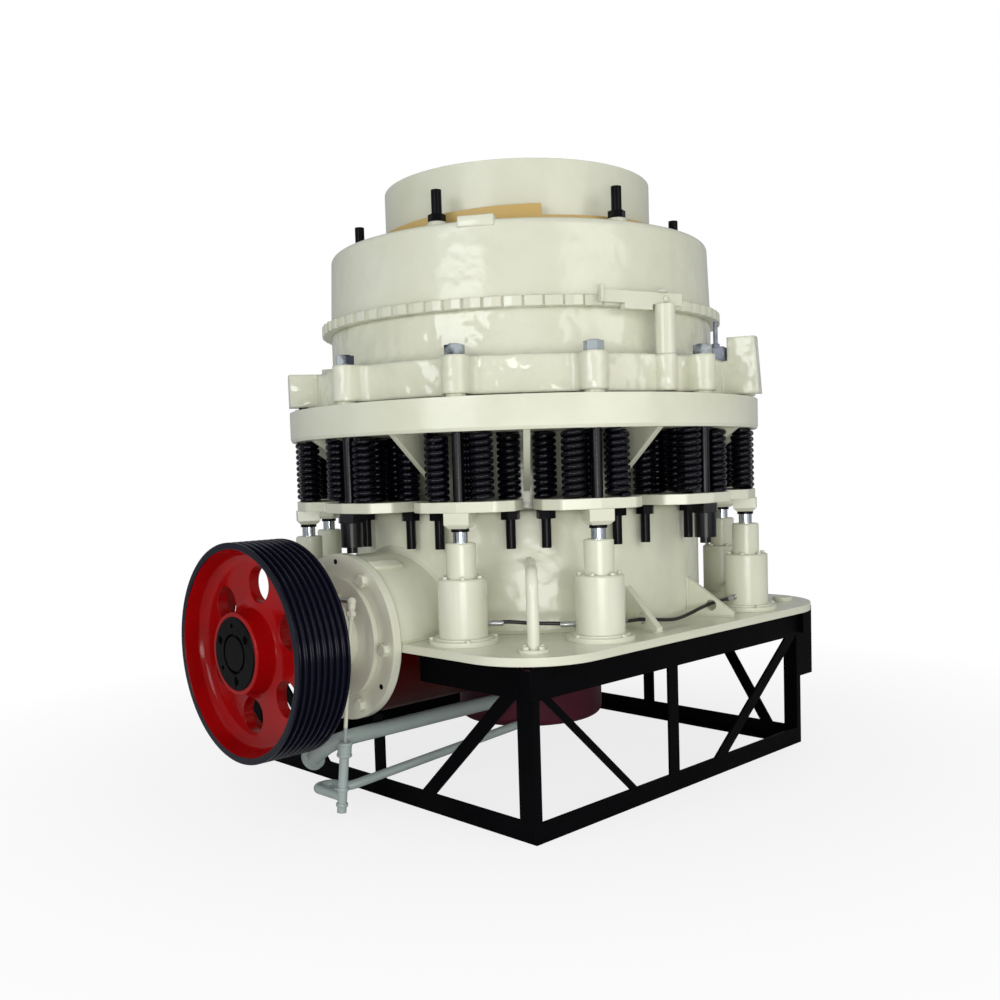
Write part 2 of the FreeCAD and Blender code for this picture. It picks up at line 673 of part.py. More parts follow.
edge_land = (PULLEY_WIDTH - GROOVE_PITCH * (GROOVES - 1)) / 2
rim = [(RIM_LIP_R, PULLEY_FRONT_Y), (PULLEY_R, PULLEY_FRONT_Y)]
for i in range(GROOVES):
    middle = PULLEY_FRONT_Y + edge_land + i * GROOVE_PITCH
    rim += [(PULLEY_R, middle - GROOVE_TOP / 2), (PULLEY_R - GROOVE_DEPTH, middle - GROOVE_BOTTOM / 2),
            (PULLEY_R - GROOVE_DEPTH, middle + GROOVE_BOTTOM / 2), (PULLEY_R, middle + GROOVE_TOP / 2)]
boss_front_y = PULLEY_FRONT_Y + HUB_BOSS_SETBACK
rim += [(PULLEY_R, PULLEY_BACK_Y), (RIM_LIP_R, PULLEY_BACK_Y), (RIM_ROOT_R, WEB_BACK_Y),
        (HUB_BOSS_R, WEB_BACK_Y), (HUB_BOSS_R, BUSH_BACK_Y), (BUSH_R, BUSH_BACK_Y), (BUSH_R, boss_front_y),
        (HUB_BOSS_R - HUB_BOSS_BEVEL, boss_front_y), (HUB_BOSS_R, WEB_FRONT_Y), (RIM_ROOT_R, WEB_FRONT_Y)]
pulley = turned_on_shaft(rim)
for i in range(WEB_HOLES):
    a = math.radians(WEB_HOLE_FIRST + i * 360.0 / WEB_HOLES)
    hole_x = WEB_HOLE_CIRCLE_R * math.cos(a)
    hole_z = SHAFT_Z + WEB_HOLE_CIRCLE_R * math.sin(a)
    pulley = pulley.cut(Part.makeCylinder(WEB_HOLE_R, PULLEY_WIDTH, V(hole_x, PULLEY_FRONT_Y, hole_z), V(0, 1, 0)))
save("belt_pulley", pulley)

bush = turned_on_shaft([(SHAFT_R, BUSH_FRONT_Y), (BUSH_R - BUSH_BEVEL, BUSH_FRONT_Y),
                        (BUSH_R, BUSH_FRONT_Y + BUSH_BEVEL), (BUSH_R, BUSH_BACK_Y), (SHAFT_R, BUSH_BACK_Y)])
save("pulley_bush", bush)


# Springs, as the tubes that their coils lie in
def spring(r, t):
    outer = hexagon(SPRING_R, SPRING_Z, BAND_Z, r, t, SPRING_SIDES)
    return outer.cut(hexagon(SPRING_BORE_R, SPRING_Z, BAND_Z, r, t, SPRING_SIDES))


spring_bolt_at = BOLT_CIRCLE_R - SPRING_BOLT_INSET
outer_spring_at = BOLT_CIRCLE_R - OUTER_SPRING_INSET
spots = [(spring_bolt_at, SPRING_BOLT_HALF_SPAN), (spring_bolt_at, -SPRING_BOLT_HALF_SPAN),
         (outer_spring_at, OUTER_SPRING_HALF_SPAN), (outer_spring_at, -OUTER_SPRING_HALF_SPAN)]
spots += [(NECK_R + gap, 0.0) for gap in INNER_SPRING_GAPS]
group_springs = [spring(r, t) for r, t in spots]
for side, middle in SIDES.items():
    save("springs_" + side, *[at_angle(s, middle + d) for d in (-30, 0, 30) for s in group_springs])

# Lower spring plates, one to a bolt group
plate_out_r = BOLT_CIRCLE_R + SPRING_PLATE_MARGIN
half_plate = [(NECK_R + SPRING_PLATE_IN_GAP, SPRING_PLATE_IN_HALF),
              (NECK_R + SPRING_PLATE_MID_GAP, SPRING_PLATE_MID_HALF),
              (BOLT_CIRCLE_R - SPRING_PLATE_SIDE_INSET, SPRING_PLATE_SIDE_HALF),
              (plate_out_r - SPRING_PLATE_OUT_CUT, SPRING_PLATE_OUT_HALF), (plate_out_r, 0)]
full_plate = [(r, -t) for r, t in half_plate] + [(r, t) for r, t in half_plate[-2::-1]]
spring_plate = plate(full_plate, PLATE_LOW_Z, SPRING_Z)
spring_plate = round_upright_edges(spring_plate, SPRING_PLATE_CORNER, lambda x, y: abs(y) > 1)
spring_plate = spring_plate.cut(rod(BOLT_R + FIT, PLATE_LOW_Z, SPRING_Z, BOLT_CIRCLE_R))
for t in (-SPRING_BOLT_HALF_SPAN, SPRING_BOLT_HALF_SPAN):
    spring_plate = spring_plate.cut(rod(SPRING_BOLT_R + FIT, PLATE_LOW_Z, SPRING_Z, spring_bolt_at, t))
for side, middle in SIDES.items():
    save("spring_plates_" + side, *[at_angle(spring_plate, middle + d) for d in (-30, 0, 30)])

# Spring bolts, each with its nut against the lower spring plate
spring_bolts = []
for t in (-SPRING_BOLT_HALF_SPAN, SPRING_BOLT_HALF_SPAN):
    bolt = rod(SPRING_BOLT_R, PLATE_LOW_Z - SPRING_BOLT_HANG, PLATE_LOW_Z + SPRING_BOLT_RISE, spring_bolt_at, t)
    nut = hexagon(SPRING_NUT_R, PLATE_LOW_Z - SPRING_NUT_HEIGHT, PLATE_LOW_Z, spring_bolt_at, t)
    spring_bolts.append(bolt.fuse(nut))
save("spring_bolts", *[at_angle(b, i * GROUP_STEP) for i in range(GROUPS) for b in spring_bolts])

# Main bolts: a nut on each ear, no nut in a stop block, a nut and a sleeve where no jack is
nut_top_z = EAR_TOP_Z + MAIN_NUT_HEIGHT
main_nut = hexagon(MAIN_NUT_R, EAR_TOP_Z, nut_top_z, BOLT_CIRCLE_R)
free_nut_low_z = PLATE_LOW_Z - FREE_NUT_HEIGHT
free_nut = hexagon(FREE_NUT_R, free_nut_low_z, PLATE_LOW_Z, BOLT_CIRCLE_R)
free_sleeve = rod(FREE_SLEEVE_R, free_nut_low_z - FREE_SLEEVE_HEIGHT, free_nut_low_z, BOLT_CIRCLE_R)
bolts = []
for a in range(0, 360, 30):
    low_z = PLATE_LOW_Z - FREE_BOLT_HANG if a in FREE_ANGLES else NUT_LOW_Z + BOLT_FLOOR
    high_z = EAR_TOP_Z + STOP_RISE if a in STOP_ANGLES else nut_top_z + MAIN_BOLT_END
    bolt = rod(BOLT_R, low_z, high_z, BOLT_CIRCLE_R)
    if a not in STOP_ANGLES:
        bolt = bolt.fuse(main_nut)
    if a in FREE_ANGLES:
        bolt = bolt.multiFuse([free_nut, free_sleeve])
    bolts.append(at_angle(bolt, a))
save("main_bolts", *bolts)

# Square nuts over the jacks, bevelled round their lower face
nut_half = SQUARE_NUT_WIDTH / 2
square_nut = box(BOLT_CIRCLE_R - nut_half, BOLT_CIRCLE_R + nut_half, -nut_half, nut_half, NUT_LOW_Z, PLATE_LOW_Z)
low_edges = [e for e in square_nut.Edges if abs(e.BoundBox.ZMax - NUT_LOW_Z) < 0.01]
square_nut = square_nut.makeChamfer(SQUARE_NUT_BEVEL, low_edges)
square_nut = square_nut.cut(rod(BOLT_R + FIT, NUT_LOW_Z + BOLT_FLOOR, PLATE_LOW_Z, BOLT_CIRCLE_R))
save("square_nuts", *[at_angle(square_nut, a) for a in JACK_ANGLES])

# Clearing jacks
flange_top = PLATE_TOP + JACK_FLANGE_THICK
low_top = PLATE_TOP + JACK_LOW_HEIGHT
high_top = low_top + JACK_HIGH_HEIGHT
rod_low_z = high_top - JACK_ROD_HIDDEN
jack_body = turned([(0, PLATE_TOP), (JACK_FLANGE_R, PLATE_TOP), (JACK_FLANGE_R, flange_top),
                    (JACK_STEP_R, flange_top), (JACK_STEP_R, flange_top + JACK_STEP),
                    (JACK_LOW_R, flange_top + JACK_STEP), (JACK_LOW_R, low_top - JACK_BEVEL),
                    (JACK_LOW_R - JACK_BEVEL, low_top), (JACK_HIGH_R, low_top),
                    (JACK_HIGH_R, high_top - JACK_BEVEL), (JACK_HIGH_R - JACK_BEVEL, high_top),
                    (JACK_ROD_R + FIT, high_top), (JACK_ROD_R + FIT, rod_low_z), (0, rod_low_z)])
jack_body.translate(V(BOLT_CIRCLE_R, 0, 0))
save("jack_bodies", *[at_angle(jack_body, a) for a in JACK_ANGLES])
jack_rod = rod(JACK_ROD_R, rod_low_z, NUT_LOW_Z, BOLT_CIRCLE_R)
save("jack_rods", *[at_angle(jack_rod, a) for a in JACK_ANGLES])


# Hydraulic hoses from jack to jack, over the base plate and through the gussets
def hose_end(jack_angle, heading, height):
    # a point just inside a jack's side, at this height over the base plate
    a, h = math.radians(jack_angle), math.radians(heading)
    reach = JACK_LOW_R - HOSE_R
    return V(BOLT_CIRCLE_R * math.cos(a) + reach * math.cos(h),
             BOLT_CIRCLE_R * math.sin(a) + reach * math.sin(h), PLATE_TOP + height)


def over_plate(points):
    return [V(x, y, PLATE_TOP + height) for x, y, height in points]


short_route = [hose_end(-60, 45, HOSE_END_Z[0])]
short_route += over_plate([(577, -706, 72), (640, -640, 62), (695, -581, 59)])
short_route += [hose_end(-30, 225, HOSE_END_Z[1])]
long_route = [hose_end(-30, 90, HOSE_END_Z[2])]
long_route += over_plate([(813, -310, 44), (810, -228, 41), (812, -128, 26), (817, -30, 15), (808, 60, 21),
                          (812, 140, 38), (809, 215, 48), (813, 300, 55)])
long_route += [hose_end(30, 270, HOSE_END_Z[3])]
jack_sides = Part.makeCompound([at_angle(rod(JACK_LOW_R, PLATE_TOP, low_top, BOLT_CIRCLE_R), a) for a in (-60, -30, 30)])
short_hose = bent_tube(short_route, HOSE_R).cut(jack_sides)
long_hose = bent_tube(long_route, HOSE_R).cut(jack_sides)
LEFT = V(1, 0, 0)
BACK = V(0, 1, 0)
hoses = [short_hose, long_hose, short_hose.mirror(ORIGIN, LEFT), long_hose.mirror(ORIGIN, LEFT)]
hoses += [short_hose.mirror(ORIGIN, BACK), short_hose.mirror(ORIGIN, BACK).mirror(ORIGIN, LEFT)]
save("jack_hoses", *hoses)

# Adjusting ring: an upright cylinder on a foot with one ear to each main bolt
ear_in_r = RING_FOOT_R - EAR_R
foot = rod(RING_FOOT_R, RING_Z, EAR_TOP_Z)
ear = box(ear_in_r, BOLT_CIRCLE_R, -EAR_R, EAR_R, RING_Z, EAR_TOP_Z)
ear = ear.fuse(rod(EAR_R, RING_Z, EAR_TOP_Z, BOLT_CIRCLE_R))
stop = box(ear_in_r, BAND_R, -STOP_HALF, STOP_HALF, RING_Z + STOP_LIFT, EAR_TOP_Z + STOP_RISE)
foot = foot.multiFuse([at_angle(ear, a) for a in range(0, 360, 30) if a not in STOP_ANGLES])
foot = round_upright_edges(foot, EAR_FILLET, lambda x, y: abs(math.hypot(x, y) - RING_FOOT_R) < 1)
pawl_boss_at = BOLT_CIRCLE_R - PAWL_BOSS_INSET
boss = rod(PAWL_BOSS_R, RING_Z, EAR_TOP_Z, pawl_boss_at)
lug = rib([(ear_in_r, RING_Z), (BAND_R + LUG_FOOT_REACH, RING_Z),
           (BAND_R + LUG_TOP_REACH, EAR_TOP_Z + LUG_RISE), (RING_FOOT_R + LUG_IN_GAP, EAR_TOP_Z + LUG_RISE),
           (RING_FOOT_R + LUG_IN_GAP, EAR_TOP_Z), (ear_in_r, EAR_TOP_Z)], LUG_THICK)
wall = turned([(RING_BORE_R, EAR_TOP_Z), (RING_FOOT_R - FOOT_LAND, EAR_TOP_Z), (RING_R, EAR_TOP_Z + FOOT_RISE),
               (RING_R, RING_TOP_Z), (RING_BORE_R, RING_TOP_Z)])
wall = wall.makeFillet(RING_COVE, level_circles(wall, RING_R, EAR_TOP_Z + FOOT_RISE))
ring = foot.multiFuse([at_angle(stop, a) for a in STOP_ANGLES] + [at_angle(lug, a) for a in LUG_ANGLES]
                      + [at_angle(boss, PAWL_POST_ANGLE), wall])
ring = ring.cut(rod(RING_BORE_R, RING_Z, RING_TOP_Z))
ring = ring.cut(round_the_bolts(rod(BOLT_R + FIT, RING_Z, EAR_TOP_Z + STOP_RISE, BOLT_CIRCLE_R)))
save("adjusting_ring", ring)

# Ratchet ring under the cap: each tooth rises to a flat land and drops at a notch
teeth = []
for i in range(TOOTH_COUNT):
    for share, depth in ((0.0, TOOTH_DEPTH), (0.06, TOOTH_DEPTH), (0.09, TOOTH_DEPTH / 2), (0.5, 0.0), (0.97, 0.0)):
        a = 2 * math.pi * (i + share) / TOOTH_COUNT
        r = TOOTH_RING_R - depth
        teeth.append((r * math.cos(a), r * math.sin(a)))
tooth_ring = plate(teeth, RING_TOP_Z, CAP_Z).cut(rod(RING_BORE_R + TOOTH_RING_BORE_GAP, RING_TOP_Z, CAP_Z))
save("tooth_ring", tooth_ring)

# Adjusting cap: a drum with a rounded top edge, the feed opening and a boss to each stud
cap = turned([(RING_R, CAP_Z), (CAP_TOP_R, CAP_TOP_Z), (HOPPER_R, CAP_TOP_Z), (HOPPER_R, CAP_TOP_Z - CAP_WALL),
              (CAP_TOP_R - CAP_WALL, CAP_TOP_Z - CAP_WALL), (RING_R - CAP_WALL, CAP_Z)])
cap = cap.makeFillet(CAP_ROUND, level_circles(cap, CAP_TOP_R, CAP_TOP_Z))
stud_at = CAP_TOP_R - STUD_EDGE
stud_boss_z = CAP_TOP_Z + STUD_BOSS_HEIGHT
stud_angles = [STUD_FIRST + i * 360.0 / STUD_COUNT for i in range(STUD_COUNT)]
stud_boss = rod(STUD_BOSS_R, CAP_TOP_Z, stud_boss_z, stud_at)
cap = cap.multiFuse([at_angle(stud_boss, a) for a in stud_angles])
save("adjusting_cap", cap)

# Hopper and the wedge ring round its foot, with a step at the end of each ramp
hopper_low_z = BOWL_MOUTH_Z + FIT
hopper = turned([(HOPPER_R - HOPPER_WALL, hopper_low_z), (HOPPER_R - FIT, hopper_low_z),
                 (HOPPER_R - FIT, HOPPER_TOP_Z), (HOPPER_R - HOPPER_WALL, HOPPER_TOP_Z)])
save("hopper", hopper)

wedge_step = 360.0 / WEDGE_STEPS
wedge_out_r = HOPPER_R + WEDGE_WIDTH
wedge_half_chord = wedge_out_r * math.sin(math.radians(wedge_step / 2))
slope = math.degrees(math.atan((WEDGE_HIGH - WEDGE_LOW) / 2 / wedge_half_chord))
ramp = Part.makeCylinder(wedge_out_r, 2 * WEDGE_HIGH, V(0, 0, CAP_TOP_Z), UP, wedge_step)
ramp.rotate(ORIGIN, UP, -wedge_step / 2)
above = box(0, 2 * wedge_out_r, -2 * wedge_out_r, 2 * wedge_out_r, 0, 4 * WEDGE_HIGH)
above.rotate(ORIGIN, V(1, 0, 0), slope)
above.translate(V(0, 0, CAP_TOP_Z + (WEDGE_LOW + WEDGE_HIGH) / 2))
ramp = ramp.cut(above).cut(rod(HOPPER_R, CAP_TOP_Z, HOPPER_TOP_Z))
ramps = [at_angle(ramp, WEDGE_FIRST - wedge_step / 2 + i * wedge_step) for i in range(WEDGE_STEPS)]
save("wedge_ring", ramps[0].multiFuse(ramps[1:]))

# Bowl with its liner, inside the adjusting ring
bowl_r = RING_BORE_R - FIT
bowl = turned([(HOPPER_R - BOWL_LIP, BOWL_MOUTH_Z), (bowl_r, BOWL_MOUTH_Z), (bowl_r, RING_Z),
               (BOWL_LOW_OUT_R, RING_Z), (BOWL_LOW_OUT_R, BOWL_LOW_Z), (BOWL_LOW_R, BOWL_LOW_Z),
               (BOWL_THROAT_R, BOWL_THROAT_Z)])
save("bowl_liner", bowl)

# Crushing head with its mantle, and the feed plate on it
feed_z = HEAD_TOP_Z + HEAD_NUT_HEIGHT
head = turned([(0, HEAD_FOOT_Z), (ECCENTRIC_R + HEAD_FOOT_DROP, HEAD_FOOT_Z),
               (HEAD_LOW_R - HEAD_SKIRT_STEP, HEAD_SKIRT_Z), (HEAD_LOW_R, HEAD_LOW_Z), (HEAD_TOP_R, HEAD_TOP_Z),
               (HEAD_NUT_R, feed_z), (0, feed_z)])
save("head_mantle", head)
edge_r = FEED_PLATE_R - FEED_PLATE_EDGE
feed_plate = turned([(0, feed_z), (edge_r, feed_z), (FEED_PLATE_R, feed_z + FEED_PLATE_THICK / 2),
                     (edge_r, feed_z + FEED_PLATE_THICK), (0, feed_z + FEED_PLATE_THICK)])
save("feed_plate", feed_plate)

# Studs with nuts on the cap, and the locking lug on its round pad
stud = rod(STUD_R, stud_boss_z, CAP_TOP_Z + STUD_HEIGHT, stud_at)
stud = stud.fuse(hexagon(STUD_NUT_R, stud_boss_z, stud_boss_z + STUD_NUT_HEIGHT, stud_at))
save("cap_studs", *[at_angle(stud, a) for a in stud_angles])
cap_lug = box(CAP_TOP_R - CAP_LUG_LENGTH, CAP_TOP_R, -CAP_LUG_HALF, CAP_LUG_HALF, CAP_TOP_Z,
              CAP_TOP_Z + CAP_LUG_THICK)
pad = rod(CAP_PAD_R, CAP_TOP_Z, CAP_TOP_Z + CAP_PAD_THICK, CAP_TOP_R - CAP_LUG_LENGTH - CAP_PAD_R / 2)
save("cap_lug", at_angle(cap_lug.fuse(pad), CAP_LUG_ANGLE))

# Pawl post on its boss, and the pawl arm with the toe that stops the ratchet ring
arm_low_z = RING_TOP_Z + PAWL_ARM_RISE
pawl_post = rod(PAWL_POST_R, EAR_TOP_Z, arm_low_z, pawl_boss_at).cut(wall)
save("pawl_post", at_angle(pawl_post, PAWL_POST_ANGLE))
arm_in_r = TOOTH_RING_R + PAWL_ARM_GAP
pawl_arm = box(arm_in_r, arm_in_r + PAWL_ARM_THICK, -PAWL_ARM_HALF, PAWL_ARM_HALF, arm_low_z,
               arm_low_z + PAWL_ARM_HEIGHT)
toe = box(TOOTH_RING_R + FIT, arm_in_r + PAWL_ARM_THICK, PAWL_TOE[0], PAWL_TOE[1], arm_low_z - PAWL_TOE_DROP,
          arm_low_z)
save("pawl_arm", at_angle(pawl_arm.fuse(toe), PAWL_ARM_ANGLE))

# Lifting pipe bent out of the shell to a foot on the base plate
pipe_at = BAND_R + LIFT_PIPE_REACH
pipe_low_z = PLATE_TOP + PIPE_FOOT_THICK
pipe_top_z = PLATE_TOP + LIFT_PIPE_RISE
bend_cut = LIFT_PIPE_BEND * (1 - math.sqrt(0.5))
path = Part.Wire([
    Part.LineSegment(V(pipe_at, 0, pipe_low_z), V(pipe_at, 0, pipe_top_z - LIFT_PIPE_BEND)).toShape(),
    Part.Arc(V(pipe_at, 0, pipe_top_z - LIFT_PIPE_BEND), V(pipe_at - bend_cut, 0, pipe_top_z - bend_cut),
             V(pipe_at - LIFT_PIPE_BEND, 0, pipe_top_z)).toShape(),
    Part.LineSegment(V(pipe_at - LIFT_PIPE_BEND, 0, pipe_top_z), V(SHELL_BORE_R, 0, pipe_top_z)).toShape()])
pipe = path.makePipe(Part.Face(Part.Wire(Part.makeCircle(LIFT_PIPE_R, V(pipe_at, 0, pipe_low_z), UP))))
pipe = pipe.fuse(rod(PIPE_FOOT_R, PLATE_TOP, pipe_low_z, pipe_at))
pipe = pipe.cut(rod(SHELL_R, PLATE_TOP, SHOULDER_HIGH))
save("side_pipe", at_angle(pipe, -45))

# Oil tube in front of the bearing cover, down to a union, a tee and a bend to the sump
tube_y = NOSE_Y - OIL_GAP
tube_top = V(OIL_TUBE_X[1], tube_y, SHAFT_Z + OIL_TUBE_RISE)
union_top = V(OIL_TUBE_X[2], tube_y - OIL_TUBE_LEAN, HOUSING_LOW_Z - OIL_UNION_GAP)
tube = bent_tube([V(OIL_TUBE_X[0], COVER_Y, tube_top.z), V(OIL_TUBE_X[0], tube_y, tube_top.z), tube_top,
                  union_top], OIL_TUBE_R)
down = union_top - tube_top
down.normalize()
union_low = union_top + down * OIL_UNION_HEIGHT
pipe_end = union_top + down * OIL_PIPE_LENGTH
union = rod_between(OIL_UNION_R, union_top, union_low).fuse(rod_between(OIL_PIPE_R, union_low, pipe_end))
tee = union_top + down * OIL_TEE_DROP
return_y = tee.y + RETURN_DEPTH
return_pipe = bent_tube([tee, V(0, tee.y, tee.z - 2), V(0, return_y, tee.z - 2), V(RETURN_X, return_y, tee.z),
                         V(*RETURN_END, HUB_LOW_Z + RETURN_RISE)], OIL_PIPE_R)
return_pipe = return_pipe.cut(rod(HUB_R, HUB_LOW_Z, SUMP_TOP_Z))
drain_z = HOUSING_LOW_Z - DRAIN_GAP
drain_turn = V(DRAIN_X, NOSE_Y - DRAIN_TURN_GAP, drain_z)
drain_mouth = drain_turn + V(-DRAIN_SIDE, -4, -DRAIN_DROP)
drain = bent_tube([V(DRAIN_X, -HUB_R / 2, drain_z), drain_turn, drain_mouth], DRAIN_R)
drain = drain.cut(rod(HUB_R, HUB_LOW_Z, SUMP_TOP_Z))
outward = drain_mouth - drain_turn
outward.normalize()
drain = drain.fuse(rod_between(DRAIN_FLANGE_R, drain_mouth, drain_mouth + outward * DRAIN_FLANGE_THICK))
save("oil_pipe", tube, union.fuse(return_pipe), drain)
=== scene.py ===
import math
import bpy
from mathutils import Matrix, Vector


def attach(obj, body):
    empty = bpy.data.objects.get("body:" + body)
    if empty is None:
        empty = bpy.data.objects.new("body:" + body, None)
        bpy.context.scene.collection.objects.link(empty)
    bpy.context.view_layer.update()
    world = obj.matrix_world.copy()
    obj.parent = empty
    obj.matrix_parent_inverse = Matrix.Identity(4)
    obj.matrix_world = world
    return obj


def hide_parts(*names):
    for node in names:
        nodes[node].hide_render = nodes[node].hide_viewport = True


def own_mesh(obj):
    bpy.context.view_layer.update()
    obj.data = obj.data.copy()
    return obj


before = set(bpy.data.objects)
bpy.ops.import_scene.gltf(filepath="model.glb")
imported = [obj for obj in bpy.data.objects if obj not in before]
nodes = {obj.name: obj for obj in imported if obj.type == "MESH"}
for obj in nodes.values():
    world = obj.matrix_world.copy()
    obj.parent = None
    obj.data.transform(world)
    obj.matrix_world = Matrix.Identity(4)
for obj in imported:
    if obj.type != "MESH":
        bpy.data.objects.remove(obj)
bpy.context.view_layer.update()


# Camera: stands off the front right corner of the base plate, 1.2 m above the floor,
# and looks slightly down at the shell, as one does when walking up to the machine.
heading, tilt, roll = math.radians(45.697), math.radians(3.6075), math.radians(-1.7442)
ahead = Vector((-math.sin(heading) * math.cos(tilt), math.cos(heading) * math.cos(tilt), -math.sin(tilt)))
level = Vector((math.cos(heading), math.sin(heading), 0))
upward = level.cross(ahead)
across = math.cos(roll) * level + math.sin(roll) * upward
upright = -math.sin(roll) * level + math.cos(roll) * upward
camera_turn = Matrix((across, upright, -ahead)).transposed()
bpy.ops.object.camera_add(location=(3.2176, -3.3007, 1.2407), rotation=camera_turn.to_euler())
camera = bpy.context.object
camera.data.sensor_width = 36
camera.data.lens = 37.69
camera.data.shift_y = 0.0343
camera.data.clip_end = 100
bpy.context.scene.camera = camera


# Floor, lamps and room: a plain pale floor that keeps the machine's shadow and fades to
# white away from it, four large soft lamps and an even room for the paint to reflect.
def new_material(name):
    # a material with its shader, ready for more nodes
    material = bpy.data.materials.new(name)
    material.use_nodes = True
    return material, material.node_tree.nodes, material.node_tree.links


bpy.ops.mesh.primitive_plane_add(size=120, location=(0, 0, 0))
floor = bpy.context.object
floor.name = "floor"
floor_paint, n, l = new_material("pale_floor")
n["Principled BSDF"].inputs["Base Color"].default_value = (0.80, 0.80, 0.79, 1)
n["Principled BSDF"].inputs["Roughness"].default_value = 0.9
n["Principled BSDF"].inputs["Specular IOR Level"].default_value = 0.1
place = n.new("ShaderNodeTexCoord")
away = n.new("ShaderNodeVectorMath")
away.operation = "LENGTH"
l.new(place.outputs["Object"], away.inputs[0])
fade = n.new("ShaderNodeMapRange")
fade.inputs["From Min"].default_value = 1.0
fade.inputs["From Max"].default_value = 3.2
fade.inputs["To Min"].default_value = 0.80
fade.inputs["To Max"].default_value = 1.0
l.new(away.outputs["Value"], fade.inputs["Value"])
rays = n.new("ShaderNodeLightPath")
seen = n.new("ShaderNodeMath")
seen.operation = "MULTIPLY"
l.new(rays.outputs["Is Camera Ray"], seen.inputs[0])
l.new(fade.outputs["Result"], seen.inputs[1])
white = n.new("ShaderNodeEmission")
blend = n.new("ShaderNodeMixShader")
l.new(seen.outputs[0], blend.inputs[0])
l.new(n["Principled BSDF"].outputs[0], blend.inputs[1])
l.new(white.outputs[0], blend.inputs[2])
l.new(blend.outputs[0], n["Material Output"].inputs["Surface"])
floor.data.materials.append(floor_paint)

room = bpy.data.worlds.new("room")
bpy.context.scene.world = room
room.use_nodes = True
n, l = room.node_tree.nodes, room.node_tree.links
rays = n.new("ShaderNodeLightPath")
direct = n.new("ShaderNodeMath")
direct.operation = "MAXIMUM"
l.new(rays.outputs["Is Camera Ray"], direct.inputs[0])
l.new(rays.outputs["Is Transmission Ray"], direct.inputs[1])
lit = n["Background"]
lit.inputs["Color"].default_value = (0.93, 0.96, 1.0, 1)
lit.inputs["Strength"].default_value = 0.42
plain = n.new("ShaderNodeBackground")
plain.inputs["Color"].default_value = (1, 1, 1, 1)
blend = n.new("ShaderNodeMixShader")
l.new(direct.outputs[0], blend.inputs[0])
l.new(lit.outputs[0], blend.inputs[1])
l.new(plain.outputs[0], blend.inputs[2])
l.new(blend.outputs[0], n["World Output"].inputs["Surface"])


def soft_lamp(name, place, target, width, height, power, colour):
    # a large area lamp that faces its target
    turn = (Vector(target) - Vector(place)).to_track_quat("-Z", "Y")
    bpy.ops.object.light_add(type="AREA", location=place, rotation=turn.to_euler())
    lamp = bpy.context.object
    lamp.name = name
    lamp.data.shape = "RECTANGLE"
    lamp.data.size, lamp.data.size_y = width, height
    lamp.data.energy = power
    lamp.data.color = colour


soft_lamp("window_light", (1.6, -6.8, 2.6), (0, 0, 1.1), 3.0, 2.2, 108, (0.97, 0.99, 1.0))
soft_lamp("door_light", (4.8, -4.2, 0.7), (0, 0, 0.8), 3.0, 1.2, 92, (1.0, 0.99, 0.97))
soft_lamp("fill_light", (6.2, -0.6, 2.4), (0, 0, 1.1), 3.5, 3.0, 80, (1.0, 0.98, 0.94))
soft_lamp("roof_light", (1.5, -1.5, 7.5), (0, 0, 1.0), 5.0, 5.0, 25, (1.0, 1.0, 1.0))


# Paints: the castings and plates are filled, primed and sprayed with a thick gloss
# enamel in cream. It is a little uneven in shade, and soft where it rounds an edge.
def enamel(name, colour, shade, gloss, grain, grain_scale, edge, wave=0.004, reflect=0.5):
    # a sprayed paint: two near shades in patches, an uneven gloss, waves and a fine skin
    material, n, l = new_material(name)
    shader = n["Principled BSDF"]
    shader.inputs["Specular IOR Level"].default_value = reflect
    place = n.new("ShaderNodeTexCoord")
    patches = n.new("ShaderNodeTexNoise")
    patches.inputs["Scale"].default_value = 2.2
    patches.inputs["Detail"].default_value = 5
    patches.inputs["Roughness"].default_value = 0.6
    l.new(place.outputs["Object"], patches.inputs["Vector"])
    shades = n.new("ShaderNodeValToRGB")
    shades.color_ramp.elements[0].position = 0.36
    shades.color_ramp.elements[0].color = (*shade, 1)
    shades.color_ramp.elements[1].position = 0.62
    shades.color_ramp.elements[1].color = (*colour, 1)
    l.new(patches.outputs["Fac"], shades.inputs["Fac"])
    l.new(shades.outputs["Color"], shader.inputs["Base Color"])
    sheen = n.new("ShaderNodeMapRange")
    sheen.inputs["To Min"].default_value = gloss * 0.8
    sheen.inputs["To Max"].default_value = gloss * 1.3
    l.new(patches.outputs["Fac"], sheen.inputs["Value"])
    l.new(sheen.outputs["Result"], shader.inputs["Roughness"])
    skin = n.new("ShaderNodeTexNoise")
    skin.inputs["Scale"].default_value = grain_scale
    skin.inputs["Detail"].default_value = 4
    l.new(place.outputs["Object"], skin.inputs["Vector"])
    waves = n.new("ShaderNodeTexNoise")
    waves.inputs["Scale"].default_value = 7
    waves.inputs["Detail"].default_value = 2
    l.new(place.outputs["Object"], waves.inputs["Vector"])
    soft_edge = n.new("ShaderNodeBevel")
    soft_edge.samples = 4
    soft_edge.inputs["Radius"].default_value = edge
    dent = n.new("ShaderNodeBump")
    dent.inputs["Strength"].default_value = 0.5
    dent.inputs["Distance"].default_value = wave
    l.new(waves.outputs["Fac"], dent.inputs["Height"])
    l.new(soft_edge.outputs["Normal"], dent.inputs["Normal"])
    bump = n.new("ShaderNodeBump")
    bump.inputs["Strength"].default_value = 0.6
    bump.inputs["Distance"].default_value = grain
    l.new(skin.outputs["Fac"], bump.inputs["Height"])
    l.new(dent.outputs["Normal"], bump.inputs["Normal"])
    l.new(bump.outputs["Normal"], shader.inputs["Normal"])
    return material


